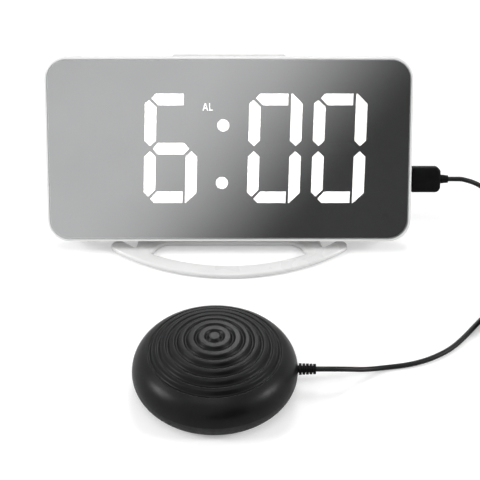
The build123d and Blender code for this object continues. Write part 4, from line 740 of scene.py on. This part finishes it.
# %% [markdown]
# ## The ribbed puck
# The puck's lid is a turned shape: a shallow dome with seven ring valleys, and a full rounded rim. A lathe
# makes it from one section, and Blender's spin does the same: one vertex is extruded along the section, then
# turned once about the middle. Each valley between two rings is a smooth dip, wide near the rim and narrow
# near the middle, so the light slides over the rings as it does on moulded rubber. Between its valleys a ring
# is nearly level in the middle of the lid, and follows the dome more toward the rim.

# %% Height of the lid
PUCK, TOP, DOME = 40.0, 31.0, 60.0
VALLEYS = [PUCK * share for share in (0.092, 0.218, 0.34, 0.449, 0.558, 0.668, 0.775)]
VALLEY_DEEP, VALLEY_REACH, REACH_GROWS, VALLEY_SHARP = 1.2, 1.2, 0.3, 0.75
LEVEL_IN_MIDDLE, LEVEL_LOST, LOST_OVER = 0.85, 0.35, 30


def dome_height(radius):
    """Height of the plain dome at a distance from its middle."""
    return TOP - DOME + math.sqrt(DOME**2 - radius**2)


def lid_height(radius):
    """Height of the lid's skin: every ring is a step, with a valley pressed in at its edge."""
    dip = 0.0
    for valley in VALLEYS:
        away = abs(radius - valley) / (VALLEY_REACH + REACH_GROWS * valley / PUCK)
        if away < 1:
            dip = 0.5 + 0.5 * math.cos(math.pi * away)
    height = dome_height(radius) - VALLEY_DEEP * dip**VALLEY_SHARP
    ring = sum(radius > valley for valley in VALLEYS)
    if ring < len(VALLEYS):
        inner = VALLEYS[ring - 1] if ring else 0.0
        step = dome_height((inner + VALLEYS[ring]) / 2)
        level_share = LEVEL_IN_MIDDLE - LEVEL_LOST * radius / LOST_OVER
        height += level_share * (1 - dip) * (step - dome_height(radius))
    return height


middle_and_valley = [round(lid_height(radius), 2) for radius in (0, VALLEYS[3])]
print("lid heights in the middle and in the fourth valley:", middle_and_valley)

# %% [markdown]
# The section goes down the dome in small steps, then round the rim's bulge from its shoulder to its widest
# place, and ends with a narrow lip that the base hides. The section is traced by extruding one vertex, and
# the spin turns it round.

# %% Ribbed lid
BULGE, BULGE_MIDDLE, EQUATOR, SHOULDER = 13.332, 26.667, 9.3, math.radians(55)
DOME_STEP, DOME_STEPS, BULGE_STEPS = 0.25, 137, 24
LIP_OUT, LIP_IN = 39.2, 37.8
section = [(DOME_STEP * i, lid_height(DOME_STEP * i)) for i in range(DOME_STEPS + 1)]
for i in range(1, BULGE_STEPS + 1):
    turn = SHOULDER * (1 - i / BULGE_STEPS)
    section.append((BULGE_MIDDLE + BULGE * math.cos(turn), EQUATOR + BULGE * math.sin(turn)))
section += [(LIP_OUT, EQUATOR), (LIP_IN, EQUATOR)]
print("section points:", len(section))
puck_lid = traced("ribbed_lid", [(PUCK_X + radius, PUCK_Y, height) for radius, height in section])
bpy.ops.mesh.spin(steps=120, angle=2 * math.pi, center=(PUCK_X * MM, PUCK_Y * MM, 0), axis=(0, 0, 1))
bpy.ops.mesh.select_all(action="SELECT")
bpy.ops.mesh.remove_doubles(threshold=0.01 * MM)
bpy.ops.mesh.normals_make_consistent(inside=False)
settle(puck_lid, "clock_and_shaker", [finishes["shaker_black"]], 50)
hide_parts("shaker_top_shell")

# %% [markdown]
# ## The foot
# The foot is one white moulding: a broad curved band in front, a round plate behind with a window in it, and
# a neck that carries the case. All its edges are softly rounded, since a sharp edge chips and sticks in the
# tool. One half of the plate's outline is traced, pushed up to its thickness and rounded, and then mirrored.
# The band lies between two wide arcs about one middle far behind it, and the plate's back is an arc about a
# nearer one. The window's front edge follows the band, and its back edge is straight.

# %% Outline of half the plate
BAND_Y, BAND_OUT, BAND_IN, BAND_END = 117.757, 98.0, 89.9, math.radians(39.8)
RING_Y, RING, PLATE_LOW, PLATE_THICK = 38.257, 50.8, 0.7, 2.5
WINDOW_HALF, WINDOW_SHORT, WINDOW_BACK = 42.0, 37.0, 47.657


def on_arc(middle, radius, start, stop, steps):
    """Places along an arc about a middle in the plate's plane, angles in radians from straight ahead."""
    turns = [start + (stop - start) * i / steps for i in range(steps + 1)]
    return [(middle[0] + radius * math.sin(t), middle[1] - radius * math.cos(t), PLATE_LOW) for t in turns]


band_middle = (BAND_OUT + BAND_IN) / 2
tip = (band_middle * math.sin(BAND_END), BAND_Y - band_middle * math.cos(BAND_END))
notch = (50.54, 43.407, PLATE_LOW)
notch_turn = math.asin(notch[0] / BAND_IN)
ring_turn = math.pi / 2 + math.asin((notch[1] - RING_Y) / RING)
window_turn = math.asin(WINDOW_HALF / BAND_IN)
outline = on_arc((0, BAND_Y), BAND_OUT, 0, BAND_END, 28)
outline += on_arc(tip, (BAND_OUT - BAND_IN) / 2, BAND_END, BAND_END + math.pi, 14)[1:]
outline += on_arc((0, BAND_Y), BAND_IN, BAND_END, notch_turn, 3)[1:]
outline += on_arc((0, RING_Y), RING, ring_turn, math.pi, 30)[1:]
outline += [(0, WINDOW_BACK, PLATE_LOW), (WINDOW_SHORT, WINDOW_BACK, PLATE_LOW)]
window_front = on_arc((0, BAND_Y), BAND_IN, window_turn, 0, 20)
outline += window_front
print("outline points:", len(outline))

# %% [markdown]
# The three upright corners are rounded first: the notch where band and plate meet, and the window's two.
# Then the upper rim gets a wide soft rounding and the lower rim a narrow one, all but the cut in the middle.

# %% Plate of the foot
foot = traced("rounded_foot", outline)
push_out((0, 0, PLATE_THICK))
corner_roundings = [(notch[:2], 1.4, 4), ((WINDOW_SHORT, WINDOW_BACK), 4.8, 8), (window_front[0][:2], 1.2, 4)]
for place, size, steps in corner_roundings:
    pick(foot, "EDGE", lambda m, w: abs(w.z) > 0.9 and math.hypot(m.x - place[0], m.y - place[1]) < 0.05)
    bpy.ops.mesh.bevel(offset=size * MM, segments=steps, affect="EDGES")
for level, size, steps in ((PLATE_LOW + PLATE_THICK, 1.0, 4), (PLATE_LOW, 0.4, 2)):
    rim = pick(foot, "EDGE", lambda m, w: abs(m.z - level) < 0.01 and m.x > 0.01)
    bpy.ops.mesh.bevel(
        offset=size * MM, segments=steps, affect="EDGES", loop_slide=False, clamp_overlap=False
    )
    print("rim edges rounded:", rim)
pick(foot, "FACE", lambda m, w: abs(m.x) < 0.001)
bpy.ops.mesh.delete(type="FACE")
choose(foot)
other_half = foot.modifiers.new("other_half", "MIRROR")
other_half.merge_threshold = 0.01 * MM
bpy.ops.object.modifier_apply(modifier="other_half")

# %% [markdown]
# The neck is a side view pushed across. Its back is a hollow curve from the case down to the plate, drawn as a
# straight line that is bent toward its waist. The back's side edges are rounded there.

# %% Neck of the foot
NECK_HALF, NECK_LOW = 23.0, 1.1
neck_front, neck_head, neck_top = (57.567, 5.483), (74.818, 39.342), (78.560, 37.435)
neck_waist, neck_toe = (76.964, 16.118), (79.567, PLATE_LOW + PLATE_THICK)
BACK_STEPS = 12
hollow = [m - (a + b) / 2 for a, m, b in zip(neck_top, neck_waist, neck_toe)]
side_view = [(neck_front[0], NECK_LOW), neck_front, neck_head]
for i in range(BACK_STEPS + 1):
    share = i / BACK_STEPS
    straight = [a + share * (b - a) for a, b in zip(neck_top, neck_toe)]
    side_view.append(tuple(a + 4 * share * (1 - share) * c for a, c in zip(straight, hollow)))
side_view.append((neck_toe[0], NECK_LOW))
neck = traced("foot_neck", [(-NECK_HALF, y, z) for y, z in side_view])
push_out((2 * NECK_HALF, 0, 0))
back_edges = pick(neck, "EDGE", lambda m, w: abs(abs(m.x) - NECK_HALF) < 0.01 and m.y > 76 and m.z > 3.3)
bpy.ops.mesh.bevel(offset=1.4 * MM, segments=4, affect="EDGES", loop_slide=False, clamp_overlap=False)
print("back edges of the neck rounded:", back_edges)

# %% [markdown]
# Two screws hold the case to the neck. Their wells are sunk into the neck's back, square to the leaning face,
# by taking a cylinder away for each.

# %% Screw wells in the neck
WELL_SIDE, WELL_UP, WELL_IN, WELL_RADIUS, WELL_LONG = 13.0, -22.2, -35.2, 2.9, 30
for side in (-WELL_SIDE, WELL_SIDE):
    well_middle = FACE_MIDDLE + FACE_TURN @ Vector((side, WELL_UP, WELL_IN)) * MM
    fresh()
    bpy.ops.mesh.primitive_cylinder_add(
        vertices=32,
        radius=WELL_RADIUS * MM,
        depth=WELL_LONG * MM,
        location=well_middle,
        rotation=(FACE_TILT, 0, 0),
    )
    cutter = bpy.context.active_object
    bpy.context.view_layer.objects.active = neck
    well = neck.modifiers.new("well", "BOOLEAN")
    well.object = cutter
    well.operation = "DIFFERENCE"
    well.solver = "EXACT"
    bpy.ops.object.modifier_apply(modifier="well")
    bpy.data.objects.remove(cutter)
for piece in (foot, neck):
    settle(piece, "clock_and_shaker", [finishes["white_shell"]], 35)
    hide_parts("stand")
